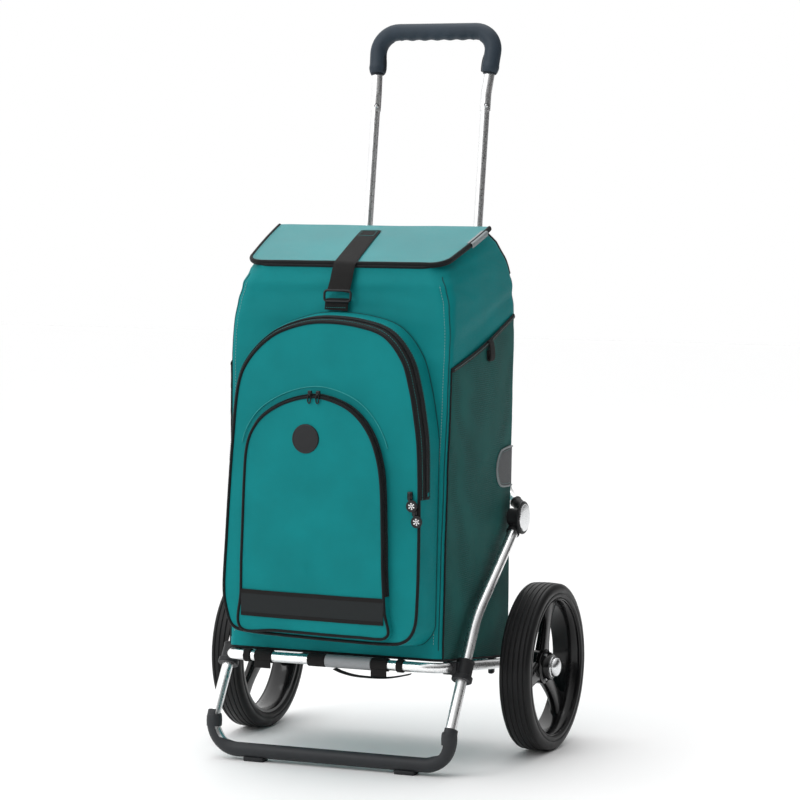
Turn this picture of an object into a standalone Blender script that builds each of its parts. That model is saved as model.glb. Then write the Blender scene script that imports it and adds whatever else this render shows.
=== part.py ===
"""Two-wheeled shopping trolley: aluminium stand and handle, soft bag, spoked wheels.

Lengths below are millimetres and become metres when a mesh is made. +Z is up and the front is -Y.
"""

from math import atan2, cos, pi, radians, sin, tan

import bmesh
import bpy
from mathutils import Matrix, Vector

MM = 0.001
GAP = 0.3
CENTRE_Y = 68.4

WHEEL_R = 125.0
AXLE_Z = WHEEL_R
WHEEL_IN = 210.5
WHEEL_OUT = 258.0
RIM_R = WHEEL_R - 22.3
HUB_R = 26.0
HUB_IN = 208.5
HUB_OUT = 250.0
AXLE_R = 5.0
BORE_GAP = 0.4
SPOKE_ANGLES = {"right": (75, 195, 315), "left": (105, 225, 345)}

STAND_X = 187.0
STAND_R = 8.0
STAND_TOP = (10.7, 332.85)
STAND_BEND = (-148.0, 219.0)
STAND_FOOT = (-250.0, 62.0)
FOOT_Y = -250.0
FOOT_Z = 15.5
BUMPER_R = 11.2
PAD_X = 120.0

RAIL_X = 168.0
RAIL_R = 7.5
RAIL_FRONT = (-250.0, 156.0)

KNUCKLE = (8.0, 345.0)
DISC_R = 25.0
DISC_IN = 196.9
DISC_OUT = 201.2

GRIP_TUBE_X = 91.0
HANDLE_R = 7.15
HANDLE_ROOT = (37.0, 354.5)
HANDLE_KNEE = (152.0, 62.0, 376.0)
HANDLE_NECK = (81.0, 700.0)
HANDLE_LEAN = 0.163
SLEEVE_Z = 950.0
SLEEVE_WALL = 0.8
SLEEVE_R = HANDLE_R + GAP + SLEEVE_WALL
GRIP_CORNER = (98.0, 152.0, 1072.0)
GRIP_R = 13.0
BUTTON_Z = 958.0
BUTTON_R = 3.0
BUTTON_AZ = -60.0

BAG_W = 168.0
BAG_WALL = 4.0
BAG_CORNER = 14.0
FRONT_EDGE = ((-242.0, 165.0), (-220.0, 581.0), (-216.0, 620.0), (-209.0, 690.0))
RIDGE = (-56.0, 781.0)
LIP = (-196.0, 731.5)
FLAP_W = 172.0
FLAP_T = 5.0
POCKET_DEPTH = 47.0
SMALL_DEPTH = 14.0
POCKET_BASE_Z = 192.0
STRAP_X = -1.0
STRAP_W = 36.0
MESH_T = 3.0

SIDES = (("right", 1), ("left", -1))


def material(name, colour, rough, metal=0.0):
    found = bpy.data.materials.new(name)
    found.use_nodes = True
    shader = found.node_tree.nodes["Principled BSDF"]
    shader.inputs["Base Color"].default_value = (*colour, 1.0)
    shader.inputs["Roughness"].default_value = rough
    shader.inputs["Metallic"].default_value = metal
    return found


def emit(name, points, faces, look, pivot=(0.0, 0.0, 0.0), smooth=True, hidden=False):
    """An object from points in millimetres, its faces turned outwards and its origin at the pivot."""
    shift = Vector((pivot[0], pivot[1] + CENTRE_Y, pivot[2])) * MM
    mesh = bpy.data.meshes.new(name)
    build = bmesh.new()
    made = [
        build.verts.new(Vector((p[0], p[1] + CENTRE_Y, p[2])) * MM - shift) for p in points
    ]
    for face in faces:
        build.faces.new([made[i] for i in face])
    bmesh.ops.recalc_face_normals(build, faces=build.faces[:])
    for face in build.faces:
        face.smooth = smooth and len(face.verts) == 4
    build.to_mesh(mesh)
    build.free()
    made_object = bpy.data.objects.new(name, mesh)
    made_object.location = shift
    bpy.context.scene.collection.objects.link(made_object)
    if look is not None:
        mesh.materials.append(look)
    if hidden:
        made_object.hide_render = True
        made_object.display_type = "WIRE"
    return made_object


def combine(target, other, how):
    """A Boolean of the target with a helper object, which is hidden."""
    other.hide_render = True
    other.display_type = "WIRE"
    step = target.modifiers.new(how.lower(), "BOOLEAN")
    step.operation = how
    step.solver = "EXACT"
    step.object = other


def fillet(points, radii, steps=5):
    """The polyline with each inner corner replaced by an arc."""
    path = [Vector(p) for p in points]
    out = [path[0]]
    for before, corner, after, radius in zip(path, path[1:], path[2:], radii):
        back = (before - corner).normalized()
        ahead = (after - corner).normalized()
        half = back.angle(ahead) / 2
        centre = corner + (back + ahead).normalized() * (radius / sin(half))
        start = corner + back * (radius / tan(half)) - centre
        end = corner + ahead * (radius / tan(half)) - centre
        turn = start.angle(end)
        for k in range(steps + 1):
            t = k / steps
            out.append(centre + (start * sin((1 - t) * turn) + end * sin(t * turn)) / sin(turn))
    out.append(path[-1])
    return out


def mirrored(path):
    """A path from the left side across to the right side."""
    left = [Vector((-p.x, p.y, p.z)) for p in path]
    return left + list(reversed(path))


def frames(path, first):
    """Tangent, normal and binormal at each point, carried along without twist."""
    out = []
    normal = Vector(first)
    for i, point in enumerate(path):
        ahead = path[min(i + 1, len(path) - 1)] - point
        back = point - path[max(i - 1, 0)]
        tangent = (ahead.normalized() + back.normalized()).normalized()
        normal = (normal - tangent * normal.dot(tangent)).normalized()
        out.append((tangent, normal, tangent.cross(normal)))
    return out


def sweep_rings(path, profile, first):
    """Rings of the profile's (normal, binormal) points along the path."""
    points = []
    for point, (_, normal, side) in zip(path, frames(path, first)):
        points += [point + normal * a + side * b for a, b in profile]
    return points


def ring_faces(rows, count, offset=0):
    return [
        (
            offset + r * count + c,
            offset + r * count + (c + 1) % count,
            offset + (r + 1) * count + (c + 1) % count,
            offset + (r + 1) * count + c,
        )
        for r in range(rows - 1)
        for c in range(count)
    ]


def circle(radius, count, phase=0.0):
    return [
        (radius * cos(2 * pi * k / count + phase), radius * sin(2 * pi * k / count + phase))
        for k in range(count)
    ]


def sweep(name, path, profile, look, first=(0.0, 1.0, 0.0), pivot=(0.0, 0.0, 0.0), hidden=False):
    """A solid swept along a path, closed at both ends."""
    count = len(profile)
    points = sweep_rings(path, profile, first)
    faces = ring_faces(len(path), count)
    faces.append(tuple(range(count)))
    faces.append(tuple(range((len(path) - 1) * count, len(path) * count)))
    return emit(name, points, faces, look, pivot, hidden=hidden)


def pipe(name, path, outer, inner, look, count=14, pivot=(0.0, 0.0, 0.0), first=(0.0, 1.0, 0.0)):
    """A hollow tube with open ends."""
    rows = len(path)
    points = sweep_rings(path, circle(outer, count), first)
    points += sweep_rings(path, circle(inner, count), first)
    inside = rows * count
    faces = ring_faces(rows, count) + ring_faces(rows, count, inside)
    for start in (0, (rows - 1) * count):
        for c in range(count):
            d = (c + 1) % count
            faces.append((start + c, start + d, inside + start + d, inside + start + c))
    return emit(name, points, faces, look, pivot)


def lathe(name, profile, look, count=48, centre=(0.0, 0.0), closed=True, pivot=(0.0, 0.0, 0.0),
          hidden=False):
    """A profile of (x, radius) turned about the X axis through the centre (y, z)."""
    points = []
    rows = []
    for x, radius in profile:
        rows.append((len(points), radius > 0))
        if radius > 0:
            points += [(x, centre[0] + a, centre[1] + b) for a, b in circle(radius, count)]
        else:
            points.append((x, centre[0], centre[1]))
    pairs = list(zip(rows, rows[1:] + rows[:1] if closed else rows[1:]))
    faces = []
    for (a, a_ring), (b, b_ring) in pairs:
        for c in range(count):
            d = (c + 1) % count
            if a_ring and b_ring:
                faces.append((a + c, a + d, b + d, b + c))
            elif a_ring:
                faces.append((a + c, a + d, b))
            elif b_ring:
                faces.append((a, b + d, b + c))
    return emit(name, points, faces, look, pivot, hidden=hidden)


def prism(name, outline, start, end, look, pivot=(0.0, 0.0, 0.0), hidden=False):
    """An outline carried from start(p) to end(p), two maps from outline points to space."""
    count = len(outline)
    points = [start(p) for p in outline] + [end(p) for p in outline]
    faces = ring_faces(2, count)
    faces += [tuple(range(count)), tuple(range(count, 2 * count))]
    return emit(name, points, faces, look, pivot, smooth=False, hidden=hidden)


def box(name, low, high, look, pivot=(0.0, 0.0, 0.0), hidden=False):
    outline = [(low[0], low[1]), (high[0], low[1]), (high[0], high[1]), (low[0], high[1])]
    return prism(
        name,
        outline,
        lambda p: (p[0], p[1], low[2]),
        lambda p: (p[0], p[1], high[2]),
        look,
        pivot,
        hidden,
    )


def loft(name, loops, look, pivot=(0.0, 0.0, 0.0)):
    """A solid through loops of equal length, closed at both ends."""
    count = len(loops[0])
    points = [p for loop in loops for p in loop]
    faces = ring_faces(len(loops), count)
    faces += [tuple(range(count)), tuple(range(len(points) - count, len(points)))]
    return emit(name, points, faces, look, pivot)


def on_line(start, end, share):
    return tuple(a + (b - a) * share for a, b in zip(start, end))


def stand_path(top=STAND_TOP):
    """The right half of the stand tube, from the knuckle to the middle of the foot bar."""
    return fillet(
        [
            (STAND_X, *top),
            (STAND_X, *STAND_BEND),
            (STAND_X, *STAND_FOOT),
            (STAND_X, FOOT_Y, FOOT_Z),
            (0.0, FOOT_Y, FOOT_Z),
        ],
        (120.0, 24.0, 38.0),
    )


def bag_front(z):
    """Y of the plane of the bag's front face at a height."""
    (low_y, low_z), (high_y, high_z) = FRONT_EDGE[:2]
    return low_y + (z - low_z) * (high_y - low_y) / (high_z - low_z)


def flap_top(y):
    return RIDGE[1] + (y - RIDGE[0]) * (RIDGE[1] - LIP[1]) / (RIDGE[0] - LIP[0])


def rounded_station(half, front, rear, radius):
    """A rounded rectangle whose height runs from the front point to the rear point."""
    corners = (
        (half - radius, front[0] + radius, -90),
        (half - radius, rear[0] - radius, 0),
        (-half + radius, rear[0] - radius, 90),
        (-half + radius, front[0] + radius, 180),
    )
    loop = []
    for x, y, angle in corners:
        for k in range(4):
            turn = radians(angle + 30 * k)
            px = x + radius * cos(turn)
            py = y + radius * sin(turn)
            share = (py - front[0]) / (rear[0] - front[0])
            loop.append((px, py, front[1] + (rear[1] - front[1]) * share))
    return loop


def bag_stations(inset):
    """The bag's sections from its floor to its rim, moved in by the inset."""
    rim = FLAP_T / cos(atan2(RIDGE[1] - LIP[1], RIDGE[0] - LIP[0])) + 0.6
    sections = (
        (FRONT_EDGE[0], (37.0, 130.0)),
        (FRONT_EDGE[1], (37.0, 581.0)),
        (FRONT_EDGE[2], (37.0, 640.0)),
        (FRONT_EDGE[3], (33.0, 694.0)),
        ((-198.0, flap_top(-198.0) - rim), (-56.0, RIDGE[1] - rim)),
    )
    loops = []
    for i, (front, rear) in enumerate(sections):
        lift = inset if i == 0 else 0.0
        near = (front[0] + inset, front[1] + lift)
        far = (rear[0] - inset, rear[1] + lift)
        if i == len(sections) - 1 and inset:
            slope = (rear[1] - front[1]) / (rear[0] - front[0])
            near = (near[0], front[1] + inset * slope)
            far = (far[0], rear[1] - inset * slope)
        loops.append(rounded_station(BAG_W - inset, near, far, BAG_CORNER - inset / 2))
    return loops


def bag_shell(look):
    outer = bag_stations(0.0)
    inner = bag_stations(BAG_WALL)
    count = len(outer[0])
    points = [p for loop in outer + inner for p in loop]
    rows = len(outer)
    inside = rows * count
    faces = ring_faces(rows, count) + ring_faces(rows, count, inside)
    faces += [tuple(range(count)), tuple(range(inside, inside + count))]
    top = (rows - 1) * count
    for c in range(count):
        d = (c + 1) % count
        faces.append((top + c, top + d, inside + top + d, inside + top + c))
    return emit("bag_shell", points, faces, look)


def arch(half, top, bottom, centre=0.0, shoulder=150.0, corner=24.0):
    """A pocket outline: flat bottom with round corners and an arched top."""
    loop = []
    for k in range(4):
        turn = radians(-90 + 30 * k)
        loop.append((half - corner + corner * cos(turn), bottom + corner + corner * sin(turn)))
    for k in range(10):
        turn = radians(90 * k / 9)
        wide = half * cos(turn) ** 0.72 if k < 9 else 0.0
        loop.append((wide, top - shoulder + shoulder * sin(turn)))
    left = [(-x, z) for x, z in reversed(loop[:-1])]
    return [(x + centre, z) for x, z in loop + left]


def shrink(outline, amount, centre):
    """The outline moved towards its middle."""
    out = []
    for x, z in outline:
        pull = Vector((centre[0] - x, centre[1] - z))
        pull = pull.normalized() * amount
        out.append((x + pull.x, z + pull.y))
    return out


def pocket(name, outline, start, depth, look):
    """A puffed pocket standing on the front face, its edge rounded over the last part."""
    middle = (sum(x for x, _ in outline) / len(outline), sum(z for _, z in outline) / len(outline))
    loops = []
    for off, inset in ((start, 0.0), (start + depth * 0.75, 0.5), (start + depth, 7.0)):
        loop = shrink(outline, inset, middle)
        loops.append([(x, bag_front(z) - off, z) for x, z in loop])
    return loft(name, loops, look)


def disc_on_front(name, centre, radius, off, thick, look, pivot=(0.0, 0.0, 0.0), count=28):
    outline = [(centre[0] + a, centre[1] + b) for a, b in circle(radius, count)]
    return prism(
        name,
        outline,
        lambda p: (p[0], bag_front(p[1]) - off, p[1]),
        lambda p: (p[0], bag_front(p[1]) - off - thick, p[1]),
        look,
        pivot,
    )


def plate_on_front(name, low, high, off, thick, look, pivot=(0.0, 0.0, 0.0)):
    outline = [low, (high[0], low[1]), high, (low[0], high[1])]
    return prism(
        name,
        outline,
        lambda p: (p[0], bag_front(p[1]) - off, p[1]),
        lambda p: (p[0], bag_front(p[1]) - off - thick, p[1]),
        look,
        pivot,
    )


def side_plate(name, side, outline, start, thick, look, pivot=(0.0, 0.0, 0.0), hidden=False):
    """A plate in the YZ plane from x = start outwards."""
    return prism(
        name,
        outline,
        lambda p: (side * start, p[0], p[1]),
        lambda p: (side * (start + thick), p[0], p[1]),
        look,
        pivot,
        hidden,
    )


def make_wheel(word, side):
    pivot = (side * (WHEEL_IN + WHEEL_OUT) / 2, 0.0, AXLE_Z)
    centre = (0.0, AXLE_Z)
    middle = (WHEEL_IN + WHEEL_OUT) / 2
    half = (WHEEL_OUT - WHEEL_IN) / 2
    tread = (
        (-21.5, RIM_R + GAP),
        (-half, WHEEL_R - 17.0),
        (-half, WHEEL_R - 9.0),
        (-20.5, WHEEL_R - 3.5),
        (-13.0, WHEEL_R - 0.6),
        (0.0, WHEEL_R),
        (13.0, WHEEL_R - 0.6),
        (20.5, WHEEL_R - 3.5),
        (half, WHEEL_R - 9.0),
        (half, WHEEL_R - 17.0),
        (21.5, RIM_R + GAP),
    )
    lathe(f"tyre_{word}", [(side * (middle + x), r) for x, r in tread], RUBBER, 48, centre,
          pivot=pivot)
    lip = RIM_R - 2.1
    drop = RIM_R - 5.7
    barrel = ((214.0, RIM_R), (255.0, RIM_R), (255.0, lip), (240.0, drop), (214.0, drop))
    rim = lathe(f"rim_{word}", [(side * x, r) for x, r in barrel], GLOSS, 48, centre, pivot=pivot)
    bore = AXLE_R + BORE_GAP
    hub = ((HUB_IN, bore), (HUB_IN, 18.0), (222.0, HUB_R), (240.0, HUB_R), (HUB_OUT, 19.0),
           (HUB_OUT, bore))
    spoke = [(10.0, -15.0), (60.0, -11.5), (RIM_R - 14.7, -17.0), (RIM_R - 3.2, -21.0)]
    spoke += [(r, -w) for r, w in reversed(spoke)]
    for k, angle in enumerate(SPOKE_ANGLES[word]):
        turn = radians(angle)
        outline = [
            (r * cos(turn) - w * sin(turn), AXLE_Z + r * sin(turn) + w * cos(turn))
            for r, w in spoke
        ]
        arm = side_plate(f"guide_spoke_{word}_{k}", side, outline, 223.0, 14.0, None, pivot, True)
        combine(rim, arm, "UNION")
    solid_hub = [(HUB_IN, 0.0)] + [(x, r) for x, r in hub[1:5]] + [(HUB_OUT, 0.0)]
    boss = lathe(f"guide_hub_{word}", [(side * x, r) for x, r in solid_hub], None, 24, centre,
                 closed=False, pivot=pivot, hidden=True)
    combine(rim, boss, "UNION")
    hole = ((HUB_IN - 5, 0.0), (HUB_IN - 5, bore), (HUB_OUT + 5, bore), (HUB_OUT + 5, 0.0))
    drill = lathe(f"guide_bore_{word}", [(side * x, r) for x, r in hole], None, 20, centre,
                  closed=False, pivot=pivot, hidden=True)
    combine(rim, drill, "DIFFERENCE")
    cap = ((HUB_OUT + GAP, 0.0), (HUB_OUT + GAP, 15.0), (255.5, 14.6), (259.5, 11.0), (261.5, 0.0))
    lathe(f"hub_cap_{word}", [(side * x, r) for x, r in cap], CHROME, 24, centre, closed=False,
          pivot=pivot)


def make_stand():
    sweep("stand_tube", mirrored(stand_path()), circle(STAND_R, 14), ALUMINIUM)
    corner = stand_path()[7:]
    shell = []
    for radius, order in ((BUMPER_R, range(11)), (STAND_R + GAP + 0.4, range(10, -1, -1))):
        for k in order:
            turn = radians(-165 + 25 * k)
            shell.append((radius * cos(turn), radius * sin(turn)))
    sweep("foot_bumper", mirrored(corner), shell, PLASTIC, first=(-1.0, 0.0, 0.0))
    for word, side in SIDES:
        low = (side * PAD_X - 16.0, FOOT_Y - 12.0, 0.0)
        high = (side * PAD_X + 16.0, FOOT_Y + 12.0, FOOT_Z - BUMPER_R - GAP)
        box(f"foot_pad_{word}", low, high, RUBBER)


def make_platform():
    slope = (RAIL_FRONT[1] - AXLE_Z) / -RAIL_FRONT[0]
    end = 9.0
    half = fillet(
        [
            (RAIL_X, end, AXLE_Z - slope * end),
            (RAIL_X, *RAIL_FRONT),
            (0.0, *RAIL_FRONT),
        ],
        (30.0,),
    )
    rail = sweep("platform_tube", mirrored(half), circle(RAIL_R, 14), ALUMINIUM)
    hole = AXLE_R + GAP
    drill = lathe("guide_axle", ((-195.0, 0.0), (-195.0, hole), (195.0, hole), (195.0, 0.0)), None,
                  20, (0.0, AXLE_Z), closed=False, hidden=True)
    combine(rail, drill, "DIFFERENCE")
    lathe("axle", ((-249.0, 0.0), (-249.0, AXLE_R), (249.0, AXLE_R), (249.0, 0.0)), STEEL, 20,
          (0.0, AXLE_Z), closed=False)
    for word, side in SIDES:
        rail_cut = sweep(f"guide_rail_{word}", mirrored(half), circle(RAIL_R + GAP, 14), None,
                         hidden=True)
        tube_cut = sweep(f"guide_stand_{word}", mirrored(stand_path()),
                         circle(STAND_R + GAP, 14), None, hidden=True)
        lower = on_line(STAND_BEND, STAND_FOOT, 0.555)
        upper = on_line(STAND_BEND, STAND_FOOT, 0.385)
        collar = on_line(STAND_BEND, STAND_FOOT, 0.515)
        bracket = sweep(f"rail_bracket_{word}",
                        [Vector((side * STAND_X, *upper)), Vector((side * STAND_X, *lower))],
                        circle(13.0, 20), PLASTIC)
        ring = sweep(f"guide_collar_{word}",
                     [Vector((side * STAND_X, *collar)), Vector((side * STAND_X, *lower))],
                     circle(15.5, 20), None, hidden=True)
        cheek = [(-212.0, 140.0), (-178.0, 135.5), (-178.0, 156.2), (-212.0, 160.4)]
        bridge = side_plate(f"guide_bridge_{word}", side, cheek, 160.0, STAND_X - 166.2, None,
                            hidden=True)
        combine(bracket, ring, "UNION")
        combine(bracket, bridge, "UNION")
        combine(bracket, tube_cut, "DIFFERENCE")
        combine(bracket, rail_cut, "DIFFERENCE")
        make_latch(word, side)
        make_axle_hook(word, side)


def make_latch(word, side):
    """A bowed release lever behind the bracket, on a pin through its middle."""
    along = Vector((0.0, STAND_FOOT[0] - STAND_BEND[0], STAND_FOOT[1] - STAND_BEND[1]))
    along.normalize()
    out = Vector((0.0, -along.z, along.y))
    middle = Vector((side * STAND_X, *on_line(STAND_BEND, STAND_FOOT, 0.455)))
    reach = 13.0 + GAP
    outline = [
        (-12.0, reach + 4.0),
        (-3.0, reach + 4.0),
        (-3.0, reach),
        (3.0, reach),
        (3.0, reach + 4.0),
        (12.0, reach + 4.0),
        (12.0, reach + 6.6),
        (-12.0, reach + 6.6),
    ]
    pin = middle + out * (reach + 5.3)
    spots = [middle + along * a + out * b for a, b in outline]
    prism(
        f"bracket_latch_{word}",
        spots,
        lambda p: (p.x - 5.0, p.y, p.z),
        lambda p: (p.x + 5.0, p.y, p.z),
        PLASTIC,
        (side * STAND_X, pin.y, pin.z),
    )


def make_axle_hook(word, side):
    reach = AXLE_R + 3.2
    ring = ((148.0, AXLE_R + GAP), (148.0, reach), (158.0, reach), (158.0, AXLE_R + GAP))
    hook = lathe(f"axle_hook_{word}", [(side * x, r) for x, r in ring], PLASTIC, 20,
                 (0.0, AXLE_Z))
    top = AXLE_Z - AXLE_R
    tail = [(-7.0, top + 1.0), (-9.0, top - 8.0), (-4.0, top - 12.0), (2.0, top - 10.0),
            (4.0, top - 1.5)]
    claw = side_plate(f"guide_claw_{word}", side, tail, 149.0, 8.0, None, hidden=True)
    combine(hook, claw, "UNION")


def make_knuckle(word, side):
    pivot = (side * STAND_X, *KNUCKLE)
    mouth = on_line(STAND_TOP, STAND_BEND, 0.0913)
    seat = on_line(STAND_TOP, STAND_BEND, -0.0435)
    hub = ((177.0, 0.0), (177.0, 13.5), (DISC_IN - GAP, 13.5), (DISC_IN - GAP, 0.0))
    socket = lathe(f"stand_socket_{word}", [(side * x, r) for x, r in hub], PLASTIC, 28,
                   KNUCKLE, closed=False, pivot=pivot)
    sleeve = sweep(f"guide_sleeve_{word}",
                   [Vector((side * STAND_X, *seat)), Vector((side * STAND_X, *mouth))],
                   circle(STAND_R + 2.2, 20), None, hidden=True)
    tube_cut = sweep(f"guide_stand_end_{word}", mirrored(stand_path()),
                     circle(STAND_R + GAP, 14), None, hidden=True)
    clear = ((DISC_IN - GAP, 0.0), (DISC_IN - GAP, DISC_R + 0.8), (210.0, DISC_R + 0.8),
             (210.0, 0.0))
    room = lathe(f"guide_room_{word}", [(side * x, r) for x, r in clear], None, 28, KNUCKLE,
                 closed=False, pivot=pivot, hidden=True)
    combine(socket, sleeve, "UNION")
    combine(socket, tube_cut, "DIFFERENCE")
    combine(socket, room, "DIFFERENCE")
    handle_disc = ((DISC_IN, 0.0), (DISC_IN, DISC_R), (DISC_OUT - 1.2, DISC_R),
                   (DISC_OUT, DISC_R - 1.2), (DISC_OUT, 0.0))
    yoke = lathe(f"handle_socket_{word}", [(side * x, r) for x, r in handle_disc], PLASTIC, 28,
                 KNUCKLE, closed=False, pivot=pivot)
    root = Vector((side * STAND_X, *HANDLE_ROOT))
    knee = Vector((side * HANDLE_KNEE[0], *HANDLE_KNEE[1:]))
    inner = Vector((side * (STAND_X + 3.5), 22.0, 349.5))
    neck = sweep(f"guide_neck_{word}", [inner, root, root.lerp(knee, 0.45)],
                 circle(HANDLE_R + 2.45, 20), None, hidden=True)
    handle_cut = sweep(f"guide_handle_{word}", handle_half(side), circle(HANDLE_R + GAP, 14), None,
                       hidden=True)
    swing = ((172.0, 0.0), (172.0, DISC_R + 0.8), (DISC_IN, DISC_R + 0.8), (DISC_IN, 0.0))
    inner_room = lathe(f"guide_swing_{word}", [(side * x, r) for x, r in swing], None, 28, KNUCKLE,
                       closed=False, pivot=pivot, hidden=True)
    combine(yoke, neck, "UNION")
    combine(yoke, handle_cut, "DIFFERENCE")
    combine(yoke, inner_room, "DIFFERENCE")
    cap = ((DISC_OUT + GAP, 0.0), (DISC_OUT + GAP, 20.8), (DISC_OUT + 1.4, 20.0),
           (DISC_OUT + 2.4, 11.0), (DISC_OUT + 2.7, 0.0))
    lathe(f"knuckle_cap_{word}", [(side * x, r) for x, r in cap], CHROME, 28, KNUCKLE,
          closed=False, pivot=pivot)


def sleeve_y(z):
    return HANDLE_NECK[0] + (z - HANDLE_NECK[1]) * HANDLE_LEAN


def handle_half(side):
    """One lower handle tube, from the knuckle to its end inside the sleeve."""
    top = SLEEVE_Z + 24.0
    return fillet(
        [
            (side * STAND_X, *HANDLE_ROOT),
            (side * HANDLE_KNEE[0], *HANDLE_KNEE[1:]),
            (side * GRIP_TUBE_X, *HANDLE_NECK),
            (side * GRIP_TUBE_X, sleeve_y(top), top),
        ],
        (36.0, 110.0),
    )


def grip_path(start):
    """The right half of the upper tube from a height to the middle of the grip bar."""
    bend = Vector((GRIP_TUBE_X, sleeve_y(976.0), 976.0))
    corner = Vector(GRIP_CORNER)
    points = [corner, Vector((0.0, corner.y, corner.z))]
    if start < bend.z:
        points = [Vector((GRIP_TUBE_X, sleeve_y(start), start)), bend] + points
        return fillet(points, (60.0, 32.0))
    return fillet([bend.lerp(corner, (start - bend.z) / (corner.z - bend.z))] + points, (32.0,))


def make_handle():
    pivot = (0.0, *KNUCKLE)
    turn = radians(BUTTON_AZ)
    push = Vector((cos(turn), sin(turn), 0.0))
    upper = pipe("upper_tube", mirrored(grip_path(SLEEVE_Z)), SLEEVE_R, SLEEVE_R - SLEEVE_WALL,
                 ALUMINIUM, pivot=pivot)
    pipe("grip", mirrored(grip_path(1010.0)), GRIP_R, SLEEVE_R + GAP, GRIP, 16, pivot)
    for word, side in SIDES:
        tube = sweep(f"handle_tube_{word}", handle_half(side), circle(HANDLE_R, 14), ALUMINIUM,
                     pivot=pivot)
        spot = Vector((side * GRIP_TUBE_X, sleeve_y(BUTTON_Z), BUTTON_Z))
        sleeve_cut = sweep(f"guide_sleeve_hole_{word}", [spot + push * 5.0, spot + push * 12.0],
                           circle(BUTTON_R + GAP, 14), None, hidden=True, first=(0.0, 0.0, 1.0))
        tube_cut = sweep(f"guide_tube_hole_{word}", [spot - push * 1.5, spot + push * 12.0],
                         circle(BUTTON_R + GAP, 14), None, hidden=True, first=(0.0, 0.0, 1.0))
        combine(upper, sleeve_cut, "DIFFERENCE")
        combine(tube, tube_cut, "DIFFERENCE")
        sweep(f"snap_button_{word}", [spot + push * 2.4, spot + push * 9.0, spot + push * 10.2],
              circle(BUTTON_R, 14), STEEL, first=(0.0, 0.0, 1.0), pivot=tuple(spot))


def make_lid():
    pivot = (0.0, RIDGE[0], RIDGE[1] - 3.0)
    radius = 25.0
    loop = [(FLAP_W, RIDGE[0] - 0.4), (-FLAP_W, RIDGE[0] - 0.4)]
    for x, angle in ((-FLAP_W + radius, 180), (FLAP_W - radius, 270)):
        for k in range(5):
            turn = radians(angle + 22.5 * k)
            loop.append((x + radius * cos(turn), LIP[0] + radius + radius * sin(turn)))
    drop = FLAP_T / cos(atan2(RIDGE[1] - LIP[1], RIDGE[0] - LIP[0]))
    prism("lid_flap", loop, lambda p: (p[0], p[1], flap_top(p[1])),
          lambda p: (p[0], p[1], flap_top(p[1]) - drop), FABRIC_LIGHT, pivot)
    band = [(-0.9, -STRAP_W / 2), (0.9, -STRAP_W / 2), (0.9, STRAP_W / 2), (-0.9, STRAP_W / 2)]
    line = fillet(
        [
            (STRAP_X, -78.0, flap_top(-78.0) + 1.4),
            (STRAP_X, -202.0, flap_top(-202.0) + 1.4),
            (STRAP_X, -217.5, 690.8),
        ],
        (8.0,),
    )
    sweep("closure_strap", line, band, WEBBING, first=(0.0, 0.3, 1.0), pivot=pivot)
    ring = box("closure_ring", (STRAP_X - 22.5, -219.6, 675.5), (STRAP_X + 22.5, -216.0, 690.2),
               PLASTIC, pivot)
    slot = box("guide_ring_slot", (STRAP_X - 19.0, -230.0, 680.0), (STRAP_X + 19.0, -205.0, 685.6),
               None, hidden=True)
    combine(ring, slot, "DIFFERENCE")
    tag = [(-124.0, flap_top(-124.0) - 9.0), (-86.0, flap_top(-86.0) - 9.0),
           (-86.0, flap_top(-86.0) + 3.0), (-124.0, flap_top(-124.0) + 3.0)]
    side_plate("lid_tag", 1, tag, FLAP_W + GAP, 1.4, TRIM_GREY, pivot)


def make_bag():
    bag_shell(FABRIC)
    slope = -35.0 / 279.0
    board = []
    for lift in (0.8, 3.8):
        front, rear = -228.0, 24.0
        rise = 165.0 + BAG_WALL + lift
        near = (front, rise + (front + 242.0) * slope)
        far = (rear, rise + (rear + 242.0) * slope)
        board.append(rounded_station(BAG_W - 14.0, near, far, BAG_CORNER))
    loft("base_board", board, PLASTIC)
    pocket("front_pocket", arch(152.0, 660.0, POCKET_BASE_Z), GAP, POCKET_DEPTH, FABRIC)
    small = arch(111.0, 548.0, POCKET_BASE_Z + 8.0, -9.0, 110.0, 18.0)
    pocket("small_pocket", small, POCKET_DEPTH + 2 * GAP, SMALL_DEPTH, FABRIC)
    face = POCKET_DEPTH + SMALL_DEPTH + 3 * GAP
    disc_on_front("front_badge", (-20.0, 481.0), 21.0, face, 1.6, PLASTIC)
    plate_on_front("reflective_band", (-112.0, 226.0), (94.0, 257.0), face, 1.0, REFLECTIVE)
    (low_y, low_z), (high_y, high_z) = FRONT_EDGE[2:]
    spots = [on_line((low_y, low_z), (high_y, high_z), t) for t in (0.62, 0.93)]
    anchor = [(y - out, z) for (y, z), out in zip(spots + spots[::-1], (0.5, 0.5, 2.3, 2.3))]
    prism("closure_anchor", anchor, lambda p: (STRAP_X - 17.5, *p),
          lambda p: (STRAP_X + 17.5, *p), WEBBING)
    for word, side in SIDES:
        outline = [(-226.0, 190.0), (-208.0, 579.0), (22.0, 646.0), (22.0, 152.0)]
        side_plate(f"side_pocket_{word}", side, outline, BAG_W + GAP, MESH_T, MESH)
        patch = [(21.0, 392.0), (21.0, 450.0), (-12.0, 450.0), (-33.0, 440.0), (-41.0, 421.0),
                 (-33.0, 402.0), (-12.0, 392.0)]
        side_plate(f"side_patch_{word}", side, patch, BAG_W + MESH_T + 2 * GAP, 1.6, TRIM_GREY)
        tab = [(-93.0, 584.0), (-73.0, 584.0), (-73.0, 615.0), (-93.0, 615.0)]
        side_plate(f"pull_tab_{word}", side, tab, BAG_W + MESH_T + 2 * GAP, 7.0, WEBBING)


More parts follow.
